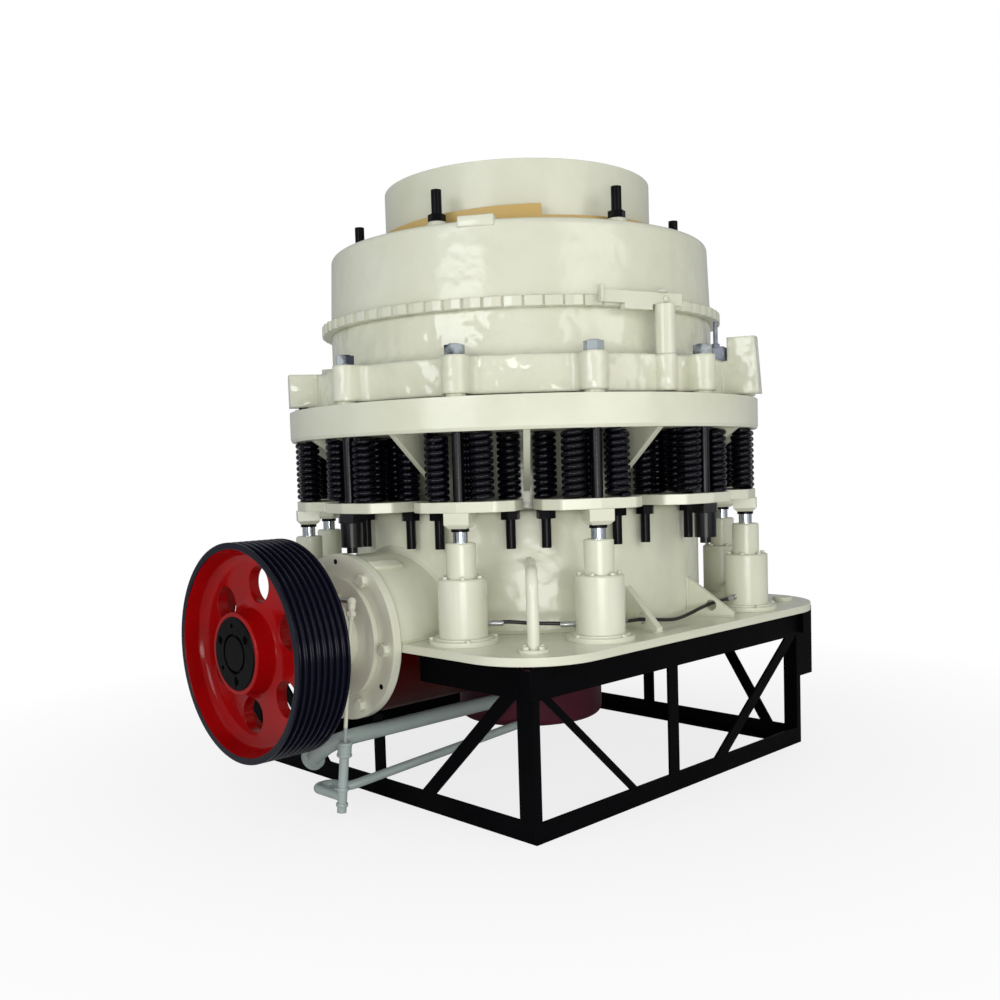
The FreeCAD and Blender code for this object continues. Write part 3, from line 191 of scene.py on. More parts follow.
def other_below(material, height, colour, ragged):
    # a second paint below this height, with a ragged edge where the two meet
    n, l = material.node_tree.nodes, material.node_tree.links
    shader = n["Principled BSDF"]
    upper = shader.inputs["Base Color"].links[0].from_socket
    place = n.new("ShaderNodeTexCoord")
    parts = n.new("ShaderNodeSeparateXYZ")
    l.new(place.outputs["Object"], parts.inputs["Vector"])
    edge_noise = n.new("ShaderNodeTexNoise")
    edge_noise.inputs["Scale"].default_value = 16
    edge_noise.inputs["Detail"].default_value = 4
    l.new(place.outputs["Object"], edge_noise.inputs["Vector"])
    uneven = n.new("ShaderNodeMath")
    uneven.operation = "MULTIPLY_ADD"
    uneven.inputs[1].default_value = ragged
    l.new(edge_noise.outputs["Fac"], uneven.inputs[0])
    l.new(parts.outputs["Z"], uneven.inputs[2])
    above = n.new("ShaderNodeMapRange")
    above.inputs["From Min"].default_value = height + ragged / 2 - 0.003
    above.inputs["From Max"].default_value = height + ragged / 2 + 0.003
    l.new(uneven.outputs[0], above.inputs["Value"])
    both = n.new("ShaderNodeMix")
    both.data_type = "RGBA"
    both.inputs[6].default_value = (*colour, 1)
    l.new(above.outputs["Result"], both.inputs[0])
    l.new(upper, both.inputs[7])
    l.new(both.outputs[2], shader.inputs["Base Color"])


def dress(material, *names):
    # gives CAD nodes their material
    for name in names:
        for place in nodes[name].material_slots:
            place.material = material


cream_tone, cream_shade = (0.705, 0.712, 0.585), (0.652, 0.655, 0.515)
cream = enamel("cream_enamel", cream_tone, cream_shade, 0.20, 0.0005, 60, 0.004, 0.003)
cream_cast = enamel("cream_casting", cream_tone, cream_shade, 0.17, 0.0012, 34, 0.007, 0.014)
ring_cast = enamel("cream_ring_casting", cream_tone, cream_shade, 0.09, 0.0010, 30, 0.016, 0.045)
dress(cream, "base_plate", "spring_flange", "neck_ribs", "foot_gussets", "jack_bodies", "side_pipe", "hopper",
      "spring_plates_right", "spring_plates_rear", "spring_plates_left", "spring_plates_front", "square_nuts",
      "pawl_post", "pawl_arm")
dress(cream_cast, "main_shell", "adjusting_cap", "tooth_ring", "housing_flange", "bearing_cover")
dress(ring_cast, "adjusting_ring")

primer_tone = (0.036, 0.0016, 0.0012)
housing_paint = enamel("housing_two_paints", cream_tone, cream_shade, 0.30, 0.0012, 34, 0.002, 0.006, 0.06)
other_below(housing_paint, 0.598, primer_tone, 0.014)
dress(housing_paint, "countershaft_housing")
primer = enamel("red_primer", (0.090, 0.016, 0.030), (0.055, 0.010, 0.018), 0.50, 0.0014, 45, 0.006, 0.004, 0.12)
dress(primer, "oil_sump", "centre_hub")

stand_black = enamel("stand_black", (0.0012, 0.0013, 0.0018), (0.0022, 0.0022, 0.0028), 0.45, 0.0010, 90, 0.003,
                     0.004, 0.03)
dress(stand_black, "stand_posts", "stand_top_rails", "stand_low_rails", "stand_braces")
bolt_black = enamel("bolt_black", (0.0022, 0.0022, 0.0034), (0.005, 0.005, 0.007), 0.22, 0.0005, 120, 0.001, 0.0,
                    0.10)
dress(bolt_black, "spring_bolts", "cap_studs")
nut_paint = enamel("nut_steel", (0.34, 0.38, 0.40), (0.030, 0.036, 0.055), 0.24, 0.0005, 120, 0.002, 0.001, 0.3)
other_below(nut_paint, 1.45, (0.0020, 0.0020, 0.0034), 0.01)
nut_paint.node_tree.nodes["Noise Texture"].inputs["Scale"].default_value = 6.5
nut_paint.node_tree.nodes["Color Ramp"].color_ramp.elements[0].position = 0.47
nut_paint.node_tree.nodes["Color Ramp"].color_ramp.elements[1].position = 0.57
dress(nut_paint, "main_bolts")
pipe_paint = enamel("pipe_cream_and_grey", cream_tone, cream_shade, 0.24, 0.0006, 60, 0.003, 0.003)
other_below(pipe_paint, 0.335, (0.34, 0.40, 0.385), 0.008)
dress(pipe_paint, "oil_pipe")
wedge_paint = enamel("wedge_yellow", (0.62, 0.44, 0.16), (0.54, 0.36, 0.11), 0.42, 0.0008, 60, 0.002)
dress(wedge_paint, "wedge_ring")


# Springs: seventy-two pairs of close wound coils, one inside the other, six round each
# main bolt. They are ground flat at both ends and hold the spring flange down.
def select_only(piece):
    bpy.ops.object.select_all(action="DESELECT")
    piece.select_set(True)
    bpy.context.view_layer.objects.active = piece


def close_up(piece):
    # closes open ends and turns all faces outwards
    select_only(piece)
    bpy.ops.object.mode_set(mode="EDIT")
    bpy.ops.mesh.select_all(action="SELECT")
    bpy.ops.mesh.remove_doubles(threshold=0.00001)
    bpy.ops.mesh.fill_holes(sides=0)
    bpy.ops.mesh.normals_make_consistent(inside=False)
    bpy.ops.object.mode_set(mode="OBJECT")


def joined(*pieces):
    bpy.ops.object.select_all(action="DESELECT")
    for piece in pieces:
        piece.select_set(True)
    bpy.context.view_layer.objects.active = pieces[0]
    bpy.ops.object.join()
    return pieces[0]


def copies(model, places, keep=False):
    # one mesh made of copies of a modelled piece, one at each place
    made = []
    for place in places:
        copy = model.copy()
        copy.data = model.data.copy()
        copy.data.transform(place)
        bpy.context.collection.objects.link(copy)
        made.append(copy)
    if not keep:
        bpy.data.objects.remove(model)
    return joined(*made)


def settle(piece, name, body, material, angle=40):
    # puts the piece's origin at the machine's, paints it and lets it ride on its body
    select_only(piece)
    bpy.ops.object.transform_apply(location=True, rotation=True, scale=True)
    bpy.ops.object.shade_smooth_by_angle(angle=math.radians(angle))
    piece.name = name
    piece.data.materials.clear()
    piece.data.materials.append(material)
    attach(piece, body)
    return piece


def around(radius, side, degrees, height=0.0, spin=0.0):
    # a place at this radius and sideways step, turned about the machine's axis
    turn = Matrix.Rotation(math.radians(degrees), 4, "Z")
    return turn @ Matrix.Translation((radius, side, height)) @ Matrix.Rotation(spin, 4, "Z")


spring_low, spring_high = 1.126, 1.3725


def wound_coil(bar_r, coil_r, turns, steps, sides):
    # a helix of round bar with its first and last turn closed and ground flat
    bpy.ops.mesh.primitive_circle_add(vertices=sides, radius=bar_r, location=(coil_r, 0, 0),
                                      rotation=(math.pi / 2, 0, 0))
    coil = bpy.context.object
    bpy.ops.object.transform_apply(location=True, rotation=True)
    winding = coil.modifiers.new("winding", "SCREW")
    winding.axis = "Z"
    winding.screw_offset = 1.0
    winding.iterations = turns
    winding.steps = winding.render_steps = steps
    bpy.ops.object.modifier_apply(modifier="winding")
    closed_pitch = 2 * bar_r + 0.0004
    open_pitch = (spring_high - spring_low - 0.008 - 2 * closed_pitch) / (turns - 2)
    for corner in coil.data.vertices:
        # the turn this corner belongs to is its height less its place in the round bar
        bar_at = math.atan2(corner.co.y, corner.co.x) / (2 * math.pi)
        turn = round(corner.co.z - bar_at) + bar_at
        rise = closed_pitch * min(turn, 1) + open_pitch * min(max(turn - 1, 0), turns - 2)
        rise += closed_pitch * max(turn - turns + 1, 0)
        height = spring_low + 0.004 + rise + corner.co.z - turn
        corner.co.z = min(max(height, spring_low), spring_high)
    close_up(coil)
    return coil


spring_spots = [(0.767, 0.138), (0.767, -0.138), (0.935, 0.083), (0.935, -0.083), (0.720, 0.0), (0.815, 0.0)]
coil_pair = joined(wound_coil(0.0119, 0.0329, 10, 20, 8), wound_coil(0.0055, 0.0168, 12, 12, 5))
spring_paint = enamel("spring_black", (0.0012, 0.0012, 0.0034), (0.002, 0.002, 0.005), 0.055, 0.0002, 90, 0.001, 0.0,
                      0.22)
for side, middle in (("right", 0), ("rear", 90), ("left", 180), ("front", 270)):
    spots = [around(r, t, middle + d, spin=2.4 * i + d) for d in (-30, 0, 30)
             for i, (r, t) in enumerate(spring_spots)]
    coils = settle(copies(coil_pair, spots, keep=True), "spring_coils_" + side, "frame", spring_paint,
                   60)
    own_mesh(coils)
    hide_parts("springs_" + side)
bpy.data.objects.remove(coil_pair)


# Pulley paint: the cast wheel is enamelled red on its web and boss, and black on the rim
# and its eight V grooves. The black runs a little over the rim's edge.
shaft_z = 0.628
pulley_paint, n, l = new_material("pulley_red_and_black")
shader = n["Principled BSDF"]
shader.inputs["Specular IOR Level"].default_value = 0.20
place = n.new("ShaderNodeTexCoord")
centred = n.new("ShaderNodeMapping")
centred.inputs["Location"].default_value = (0, 0, -shaft_z)
l.new(place.outputs["Object"], centred.inputs["Vector"])
parts = n.new("ShaderNodeSeparateXYZ")
l.new(centred.outputs["Vector"], parts.inputs["Vector"])
flat = n.new("ShaderNodeCombineXYZ")
l.new(parts.outputs["X"], flat.inputs["X"])
l.new(parts.outputs["Z"], flat.inputs["Y"])
reach = n.new("ShaderNodeVectorMath")
reach.operation = "LENGTH"
l.new(flat.outputs["Vector"], reach.inputs[0])
patches = n.new("ShaderNodeTexNoise")
patches.inputs["Scale"].default_value = 4
patches.inputs["Detail"].default_value = 5
l.new(place.outputs["Object"], patches.inputs["Vector"])
ragged = n.new("ShaderNodeMath")
ragged.operation = "MULTIPLY_ADD"
ragged.inputs[1].default_value = 0.006
l.new(patches.outputs["Fac"], ragged.inputs[0])
l.new(reach.outputs["Value"], ragged.inputs[2])
outside = n.new("ShaderNodeMath")
outside.operation = "GREATER_THAN"
outside.inputs[1].default_value = 0.3655
l.new(ragged.outputs[0], outside.inputs[0])
reds = n.new("ShaderNodeValToRGB")
reds.color_ramp.elements[0].position = 0.35
reds.color_ramp.elements[0].color = (0.250, 0.0014, 0.0020, 1)
reds.color_ramp.elements[1].position = 0.65
reds.color_ramp.elements[1].color = (0.350, 0.0018, 0.0026, 1)
l.new(patches.outputs["Fac"], reds.inputs["Fac"])
two_tone = n.new("ShaderNodeMix")
two_tone.data_type = "RGBA"
l.new(outside.outputs[0], two_tone.inputs[0])
l.new(reds.outputs["Color"], two_tone.inputs[6])
two_tone.inputs[7].default_value = (0.0040, 0.0042, 0.0120, 1)
l.new(two_tone.outputs[2], shader.inputs["Base Color"])
sheen = n.new("ShaderNodeMapRange")
sheen.inputs["To Min"].default_value = 0.10
sheen.inputs["To Max"].default_value = 0.20
l.new(patches.outputs["Fac"], sheen.inputs["Value"])
l.new(sheen.outputs["Result"], shader.inputs["Roughness"])
skin = n.new("ShaderNodeTexNoise")
skin.inputs["Scale"].default_value = 45
skin.inputs["Detail"].default_value = 4
l.new(place.outputs["Object"], skin.inputs["Vector"])
soft_edge = n.new("ShaderNodeBevel")
soft_edge.samples = 4
soft_edge.inputs["Radius"].default_value = 0.006
bump = n.new("ShaderNodeBump")
bump.inputs["Strength"].default_value = 0.5
bump.inputs["Distance"].default_value = 0.0010
l.new(skin.outputs["Fac"], bump.inputs["Height"])
l.new(soft_edge.outputs["Normal"], bump.inputs["Normal"])
l.new(bump.outputs["Normal"], shader.inputs["Normal"])


def turned_piece(rings, sides=32):
    # a turned piece along +Z: a disc at the first ring, extruded and scaled to each next
    radius, height = rings[0]
    bpy.ops.object.select_all(action="DESELECT")
    bpy.ops.mesh.primitive_circle_add(vertices=sides, radius=radius, fill_type="NGON", location=(0, 0, 0))
    piece = bpy.context.object
    bpy.ops.object.mode_set(mode="EDIT")
    bpy.ops.mesh.select_all(action="SELECT")
    bpy.ops.transform.translate(value=(0, 0, height))
    for next_radius, next_height in rings[1:]:
        bpy.ops.mesh.extrude_region_move(TRANSFORM_OT_translate={"value": (0, 0, next_height - height)})
        bpy.ops.transform.resize(value=(next_radius / radius, next_radius / radius, 1))
        radius, height = next_radius, next_height
    bpy.ops.mesh.select_all(action="SELECT")
    bpy.ops.mesh.normals_make_consistent(inside=False)
    bpy.ops.object.mode_set(mode="OBJECT")
    return piece


def hex_screw(corner_r, head, washer_r=0.0, washer=0.0, end_r=0.0, end=0.0):
    # a hexagon head with its corners turned off, on a washer, with or without a bolt end
    flat_r = corner_r * 0.87
    pieces = [turned_piece([(corner_r, washer), (corner_r, washer + head * 0.86), (flat_r, washer + head)], 6)]
    if washer:
        pieces.append(turned_piece([(washer_r, 0), (washer_r, washer * 0.75), (washer_r * 0.96, washer)], 20))
    if end:
        top = washer + head
        pieces.append(turned_piece([(end_r, top - 0.002), (end_r, top + end * 0.8), (end_r * 0.82, top + end)], 16))
    return joined(*pieces) if len(pieces) > 1 else pieces[0]


def rounded_block(place, size, width, segments=1):
    # a flame cut block of this size at its place, with its edges rounded
    bpy.ops.mesh.primitive_cube_add(size=1, location=(0, 0, 0))
    block = bpy.context.object
    block.data.transform(place @ Matrix.Diagonal((*size, 1)))
    rounding = block.modifiers.new("rounding", "BEVEL")
    rounding.width = width
    rounding.segments = segments
    select_only(block)
    bpy.ops.object.modifier_apply(modifier="rounding")
    return block


def on_shaft(radius, degrees, y, spin=0.0):
    # a place on a face that looks along the countershaft towards the pulley
    a = math.radians(degrees)
    place = Matrix.Translation((radius * math.cos(a), y, shaft_z + radius * math.sin(a)))
    return place @ Matrix.Rotation(math.pi / 2, 4, "X") @ Matrix.Rotation(spin, 4, "Z")


def cut_out(piece, cutter):
    # takes the cutter's shape out of the piece
    hollow = piece.modifiers.new("hollow", "BOOLEAN")
    hollow.object = cutter
    hollow.solver = "EXACT"
    select_only(piece)
    bpy.ops.object.modifier_apply(modifier="hollow")
    bpy.data.objects.remove(cutter)


# Pulley: the cast wheel is turned from its boss's back face round the rim to its boss's
# front face, with wide fillets to its web, and then bored for the bush. Six round holes
# lighten its web.
wheel_back, wheel_width, wheel_r, lip_r = -1.249, 0.207, 0.386, 0.363
groove_depth, groove_pitch, groove_count, web_back, web_front = 0.016, 0.0249, 8, 0.087, 0.127
bore_r, web_holes, first_hole, web_hole_r, web_circle = 0.1292, 6, 21, 0.064, 0.238
groove_first = (wheel_width - groove_pitch * (groove_count - 1)) / 2
wheel_rings = [(0.142, 0.041), (0.142, web_back), (0.340, web_back), (0.350, web_back - 0.012), (lip_r, 0.0),
               (wheel_r, 0.0)]
for i in range(groove_count):
    middle = groove_first + i * groove_pitch
    wheel_rings += [(wheel_r, middle - 0.010), (wheel_r - groove_depth, middle - 0.005),
                    (wheel_r - groove_depth, middle + 0.005), (wheel_r, middle + 0.010)]
wheel_rings += [(wheel_r, wheel_width), (lip_r, wheel_width), (0.353, 0.160), (0.347, 0.142), (0.334, 0.131),
                (0.312, web_front), (0.190, web_front), (0.168, 0.130), (0.153, 0.140), (0.146, 0.158),
                (0.144, 0.206), (0.141, 0.209), (0.132, 0.209)]
wheel = turned_piece(wheel_rings, 96)
cut_out(wheel, turned_piece([(bore_r, -0.01), (bore_r, 0.22)], 64))
for i in range(web_holes):
    a = math.radians(first_hole + 360 / web_holes * i)
    web_hole = turned_piece([(web_hole_r, 0.0), (web_hole_r, 0.16)], 40)
    web_hole.data.transform(Matrix.Translation((web_circle * math.cos(a), web_circle * math.sin(a), 0)))
    cut_out(wheel, web_hole)
wheel.data.transform(Matrix.Translation((0, wheel_back, shaft_z)) @ Matrix.Rotation(math.pi / 2, 4, "X"))
settle(wheel, "pulley_wheel", "drive", pulley_paint, 35)
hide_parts("belt_pulley")


# Clamping bush: a split taper bush, black all over. Its three screws sit in pockets, with
# its slit and two jacking holes between them.
bush_front, bush_back = -1.462, -1.290
bush_black = enamel("bush_black", (0.0014, 0.0014, 0.0018), (0.0026, 0.0026, 0.0030), 0.30, 0.0012, 40, 0.001, 0.004,
                    0.06)
bush_r, shaft_r, screw_circle, hole_circle = 0.129, 0.060, 0.096, 0.098
screw_angles, hole_angles = (35, 155, 275), (95, 215)
pocket_depth, front_at = 0.018, bush_back - bush_front
bush = turned_piece([(bush_r, 0), (bush_r, front_at - 0.005), (bush_r - 0.005, front_at)], 96)
cut_out(bush, turned_piece([(shaft_r + 0.0001, -0.01), (shaft_r + 0.0001, front_at - 0.012),
                            (0.069, front_at - 0.012), (0.073, 0.19)], 64))
for pocket_r, circle, sides, angles in ((0.015, screw_circle, 24, screw_angles),
                                        (0.0085, hole_circle, 20, hole_angles)):
    for degrees in angles:
        a = math.radians(degrees)
        pocket = turned_piece([(pocket_r, front_at - pocket_depth), (pocket_r, front_at + 0.01)], sides)
        pocket.data.transform(Matrix.Translation((circle * math.cos(a), circle * math.sin(a), 0)))
        cut_out(bush, pocket)
bpy.ops.mesh.primitive_cube_add(size=1, location=(0, 0, 0))
slit = bpy.context.object
slit.data.transform(Matrix.Translation((0, -0.096, 0.09)) @ Matrix.Diagonal((0.005, 0.074, 0.19, 1)))
cut_out(bush, slit)
bush.data.transform(Matrix.Translation((0, bush_back, shaft_z)) @ Matrix.Rotation(math.pi / 2, 4, "X"))
settle(bush, "clamping_bush", "drive", bush_black)
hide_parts("pulley_bush")
bush_screw = turned_piece([(0.0125, 0), (0.0125, 0.011), (0.0110, 0.0125), (0.0062, 0.0125), (0.0060, 0.006)], 20)
bush_screws = copies(bush_screw, [on_shaft(screw_circle, a, bush_front + pocket_depth - 0.001) for a in screw_angles])
settle(bush_screws, "bush_screws", "drive", bush_black)


# Housing flange: six cream hexagon screws hold the bearing cover's flange to the
# countershaft housing. Three thin black discs on its face are painted shade in place of its tapped holes for jacking
# it off.
flange_screws = copies(hex_screw(0.0245, 0.019, 0.026, 0.004),
                       [on_shaft(0.268, -5 + 60 * i, -1.008, 0.3 + i) for i in range(6)])
settle(flange_screws, "flange_screws", "frame", cream)
# thin black discs, not holes: painted shade where the three jacking holes are
jacking_hole_shade = copies(turned_piece([(0.010, -0.001), (0.010, 0.0012), (0.008, 0.0015)], 20),
                       [on_shaft(0.282, a, -1.008) for a in (94, -35, -146)])
settle(jacking_hole_shade, "jacking_hole_shade", "frame", bolt_black)


# Shell skirt: below the spring plates the cast shell is thicker, and rounds in at its top
# to the neck. The countershaft housing passes through it.
plate_top, shell_r, housing_r = 0.624, 0.745, 0.302


def turned_ring(profile, sides=96):
    # a ring turned about the machine's axis from a closed profile of radii and heights
    line = bpy.data.meshes.new("profile")
    line.from_pydata([(r, 0, z) for r, z in profile], [(i, (i + 1) % len(profile)) for i in range(len(profile))], [])
    ring = bpy.data.objects.new("ring", line)
    bpy.context.collection.objects.link(ring)
    lathe = ring.modifiers.new("lathe", "SCREW")
    lathe.steps = lathe.render_steps = sides
    lathe.use_merge_vertices = True
    select_only(ring)
    bpy.ops.object.modifier_apply(modifier="lathe")
    close_up(ring)
    return ring


skirt = turned_ring([(0.704, plate_top - 0.004), (shell_r, plate_top - 0.004), (shell_r, 1.056), (0.742, 1.068),
                     (0.734, 1.077), (0.722, 1.081), (0.704, 1.083)])
housing_way = turned_piece([(0.290, 0.50), (0.290, 0.90)], 64)
housing_way.data.transform(Matrix.Translation((0, 0, shaft_z)) @ Matrix.Rotation(math.pi / 2, 4, "X"))
cut_out(skirt, housing_way)
settle(skirt, "shell_skirt", "frame", cream_cast)


# Housing casting: it runs into the shell with a fillet, and a machined pad lies along its
# top right, just behind the flange.
fillet_reach, fillet_steps, fillet_ends = 0.034, 8, (0, 180)


def housing_meets_shell(radius, degrees, forward=0.0):
    # a point on the shell where a circle of this radius round the shaft meets it
    x = radius * math.cos(math.radians(degrees))
    return Vector((x, -math.sqrt(shell_r ** 2 - x ** 2) - forward, shaft_z + radius * math.sin(math.radians(degrees))))


fillet_rows = []
for degrees in range(fillet_ends[0], fillet_ends[1] + 1, 3):
    corner = housing_meets_shell(housing_r, degrees)
    on_housing = housing_meets_shell(housing_r - 0.002, degrees, fillet_reach)
    on_shell = housing_meets_shell(housing_r + fillet_reach, degrees, -0.003)
    row = [corner]
    for i in range(fillet_steps + 1):
        # the fillet's edges lie a little under both surfaces
        t = i / fillet_steps
        row.append((1 - t) ** 2 * on_housing + 2 * t * (1 - t) * corner + t ** 2 * on_shell)
    fillet_rows.append(row)
across_count = fillet_steps + 2
corners = [spot for row in fillet_rows for spot in row]
faces = [[i * across_count + j, i * across_count + (j + 1) % across_count,
          (i + 1) * across_count + (j + 1) % across_count, (i + 1) * across_count + j]
         for i in range(len(fillet_rows) - 1) for j in range(across_count)]
fillet_mesh = bpy.data.meshes.new("housing_fillet")
fillet_mesh.from_pydata(corners, [], faces)
housing_fillet = bpy.data.objects.new("housing_fillet", fillet_mesh)
bpy.context.collection.objects.link(housing_fillet)
close_up(housing_fillet)
settle(housing_fillet, "housing_fillet", "frame", cream_cast, 60)

pad_from, pad_turn, pad_middle_y, pad_length, pad_thick = 57, 9, -0.902, 0.136, 0.020
bpy.ops.mesh.primitive_plane_add(size=1, location=(0, 0, 0))
pad = bpy.context.object
pad.data.transform(Matrix.Translation((housing_r + 0.003, pad_middle_y, 0)) @
                   Matrix.Diagonal((pad_thick, pad_length, 1, 1)))
bpy.ops.object.mode_set(mode="EDIT")
bpy.ops.mesh.select_all(action="SELECT")
bpy.ops.mesh.spin(steps=4, angle=math.radians(pad_turn), center=(0, 0, 0), axis=(0, 1, 0))
bpy.ops.object.mode_set(mode="OBJECT")
close_up(pad)
pad.data.transform(Matrix.Translation((0, 0, shaft_z)) @ Matrix.Rotation(math.radians(-pad_from), 4, "Y"))
rounding = pad.modifiers.new("rounding", "BEVEL")
rounding.width = 0.005
rounding.segments = 2
rounding.limit_method = "ANGLE"
select_only(pad)
bpy.ops.object.modifier_apply(modifier="rounding")
settle(pad, "housing_pad", "frame", cream_cast)


# Jacks: steel cylinders on round flanges with small screws, bright chromed rods with a
# dark scraper ring, and a black rubber hose from jack to jack with zinc plated fittings.
chrome, n, l = new_material("chromed_rod")
shader = n["Principled BSDF"]
shader.inputs["Metallic"].default_value = 1.0
shader.inputs["Base Color"].default_value = (0.60, 0.65, 0.70, 1)
place = n.new("ShaderNodeTexCoord")
smears = n.new("ShaderNodeTexNoise")
smears.inputs["Scale"].default_value = 22
l.new(place.outputs["Object"], smears.inputs["Vector"])
sheen = n.new("ShaderNodeMapRange")
sheen.inputs["To Min"].default_value = 0.10
sheen.inputs["To Max"].default_value = 0.26
l.new(smears.outputs["Fac"], sheen.inputs["Value"])
l.new(sheen.outputs["Result"], shader.inputs["Roughness"])
dress(chrome, "jack_rods")
rubber = enamel("hose_rubber", (0.004, 0.004, 0.005), (0.008, 0.008, 0.009), 0.32, 0.0005, 260, 0.001, 0.0)
dress(rubber, "jack_hoses")

bolt_circle = 0.943
jack_angles = [a for a in range(0, 360, 30) if a % 90]
jack_places = [around(bolt_circle, 0, a) for a in jack_angles]
small_screw = turned_piece([(0.0085, 0), (0.0085, 0.008), (0.0070, 0.0095), (0.0042, 0.0095), (0.0040, 0.0055)], 16)
collar_screws = copies(small_screw, [p @ around(0.071, 0, 20 + 60 * i, 0.856) for p in jack_places for i in range(6)])
settle(collar_screws, "jack_collar_screws", "frame", cream)
foot_screws = copies(hex_screw(0.0085, 0.009), [p @ around(0.1142, 0, 25 + 90 * i, 0.642) for p in jack_places
                                                for i in range(4)])
settle(foot_screws, "jack_foot_screws", "frame", cream)
scraper = turned_piece([(0.0268, 1.0205), (0.0325, 1.0205), (0.0325, 1.0318), (0.0268, 1.0318)], 32)
settle(copies(scraper, jack_places), "rod_scrapers", "bowl", bolt_black)

fitting = joined(turned_piece([(0.0125, -0.002), (0.0125, 0.010), (0.011, 0.011)], 6),
                 turned_piece([(0.0092, 0.010), (0.0092, 0.016), (0.0108, 0.018), (0.0108, 0.052),
                               (0.0088, 0.056)], 18))
jack_side, hose_ends = 0.087, []
for x_side in (-1, 1):
    for y_side in (-1, 1):
        mirror = Matrix.Diagonal((x_side, -y_side, 1, 1))
        for jack, heading_deg, height in ((-60, 45, 0.691), (-30, 225, 0.680)):
            a, h = math.radians(jack), math.radians(heading_deg)
            x = bolt_circle * math.cos(a) + jack_side * math.cos(h)
            y = bolt_circle * math.sin(a) + jack_side * math.sin(h)
            start = mirror @ Vector((x, y, height))
            along = (mirror @ Vector((math.cos(h), math.sin(h), 0, 0))).to_3d()
            hose_ends.append(Matrix.Translation(start) @ along.to_track_quat("Z", "X").to_matrix().to_4x4())
    for jack, heading_deg, height in ((-30, 90, 0.676), (30, 270, 0.682)):
        a, h = math.radians(jack), math.radians(heading_deg)
        x, y = bolt_circle * math.cos(a), bolt_circle * math.sin(a) + jack_side * math.sin(h)
        along = Vector((0, math.sin(h), -0.06))
        turn = along.to_track_quat("Z", "X").to_matrix().to_4x4()
        hose_ends.append(Matrix.Translation((x_side * x, y, height)) @ turn)
zinc, n, l = new_material("zinc_fitting")
n["Principled BSDF"].inputs["Metallic"].default_value = 1.0
n["Principled BSDF"].inputs["Roughness"].default_value = 0.32
place = n.new("ShaderNodeTexCoord")
bloom = n.new("ShaderNodeTexNoise")
bloom.inputs["Scale"].default_value = 60
l.new(place.outputs["Object"], bloom.inputs["Vector"])
greys = n.new("ShaderNodeValToRGB")
greys.color_ramp.elements[0].color = (0.30, 0.31, 0.32, 1)
greys.color_ramp.elements[1].color = (0.62, 0.63, 0.62, 1)
l.new(bloom.outputs["Fac"], greys.inputs["Fac"])
l.new(greys.outputs["Color"], n["Principled BSDF"].inputs["Base Color"])
settle(copies(fitting, hose_ends), "hose_fittings", "frame", zinc)


# Base plate fasteners: four small screws on the lifting pipe's foot, and a round
# hold-down nut on each rear corner.
pipe_screws = copies(hex_screw(0.0105, 0.011), [around(1.140, 0, -45) @ around(0.037, 0, 45 + 90 * i, 0.636)
                                                for i in range(4)])
settle(pipe_screws, "pipe_foot_screws", "frame", cream)
corner_nuts = [turned_piece([(0.043, plate_top), (0.043, plate_top + 0.014), (0.039, plate_top + 0.018),
                             (0.013, plate_top + 0.018), (0.012, plate_top + 0.008)], 32)]
settle(copies(corner_nuts[0], [Matrix.Translation((x, 0.775, 0)) for x in (-0.806, 0.806)]), "corner_nuts", "frame",
       cream)


# Oil pipe fittings: a zinc nipple and a cream elbow at the top of the thin tube, a union
# on the thick pipe with a bead at each end, and collars on the tee.
tube_top, union_top = Vector((0.204, -1.105, 0.785)), Vector((0.182, -1.142, 0.280))
down = (union_top - tube_top).normalized()
down_turn = down.to_track_quat("Z", "X").to_matrix().to_4x4()


def on_pipe(distance):
    return Matrix.Translation(union_top + down * distance) @ down_turn


fittings = []
elbow_drop = (tube_top - union_top).length
fittings.append(copies(turned_piece([(0.0135, 0.002), (0.0150, 0.006), (0.0150, 0.026), (0.0125, 0.028),
                                     (0.0125, 0.034)], 16), [on_pipe(-elbow_drop)]))
fittings.append(copies(turned_piece([(0.0185, 0.034), (0.0185, 0.050), (0.0165, 0.052)], 6), [on_pipe(-elbow_drop)]))
fittings.append(copies(turned_piece([(0.0105, 0.052), (0.0105, 0.064), (0.0092, 0.066)], 16), [on_pipe(-elbow_drop)]))
bpy.ops.mesh.primitive_uv_sphere_add(segments=20, ring_count=12, radius=0.0165, location=tube_top)
fittings.append(bpy.context.object)
for distance in (-0.004, 0.036):
    fittings.append(copies(turned_piece([(0.0250, 0), (0.0275, 0.003), (0.0275, 0.010), (0.0250, 0.013)], 24),
                           [on_pipe(distance)]))
for distance in (0.160, 0.216):
    fittings.append(copies(turned_piece([(0.0205, 0), (0.0215, 0.002), (0.0215, 0.010), (0.0205, 0.012)], 24),
                           [on_pipe(distance)]))
settle(joined(*fittings), "oil_pipe_fittings", "frame", pipe_paint)
nipple = turned_piece([(0.0105, 0), (0.0105, 0.018), (0.0085, 0.020), (0.0085, 0.050)], 16)
nipple_at = Matrix.Translation((0.138, -1.105, 0.785)) @ Matrix.Rotation(math.pi / 2, 4, "Y")
settle(copies(nipple, [nipple_at]), "oil_nipple", "frame", zinc)


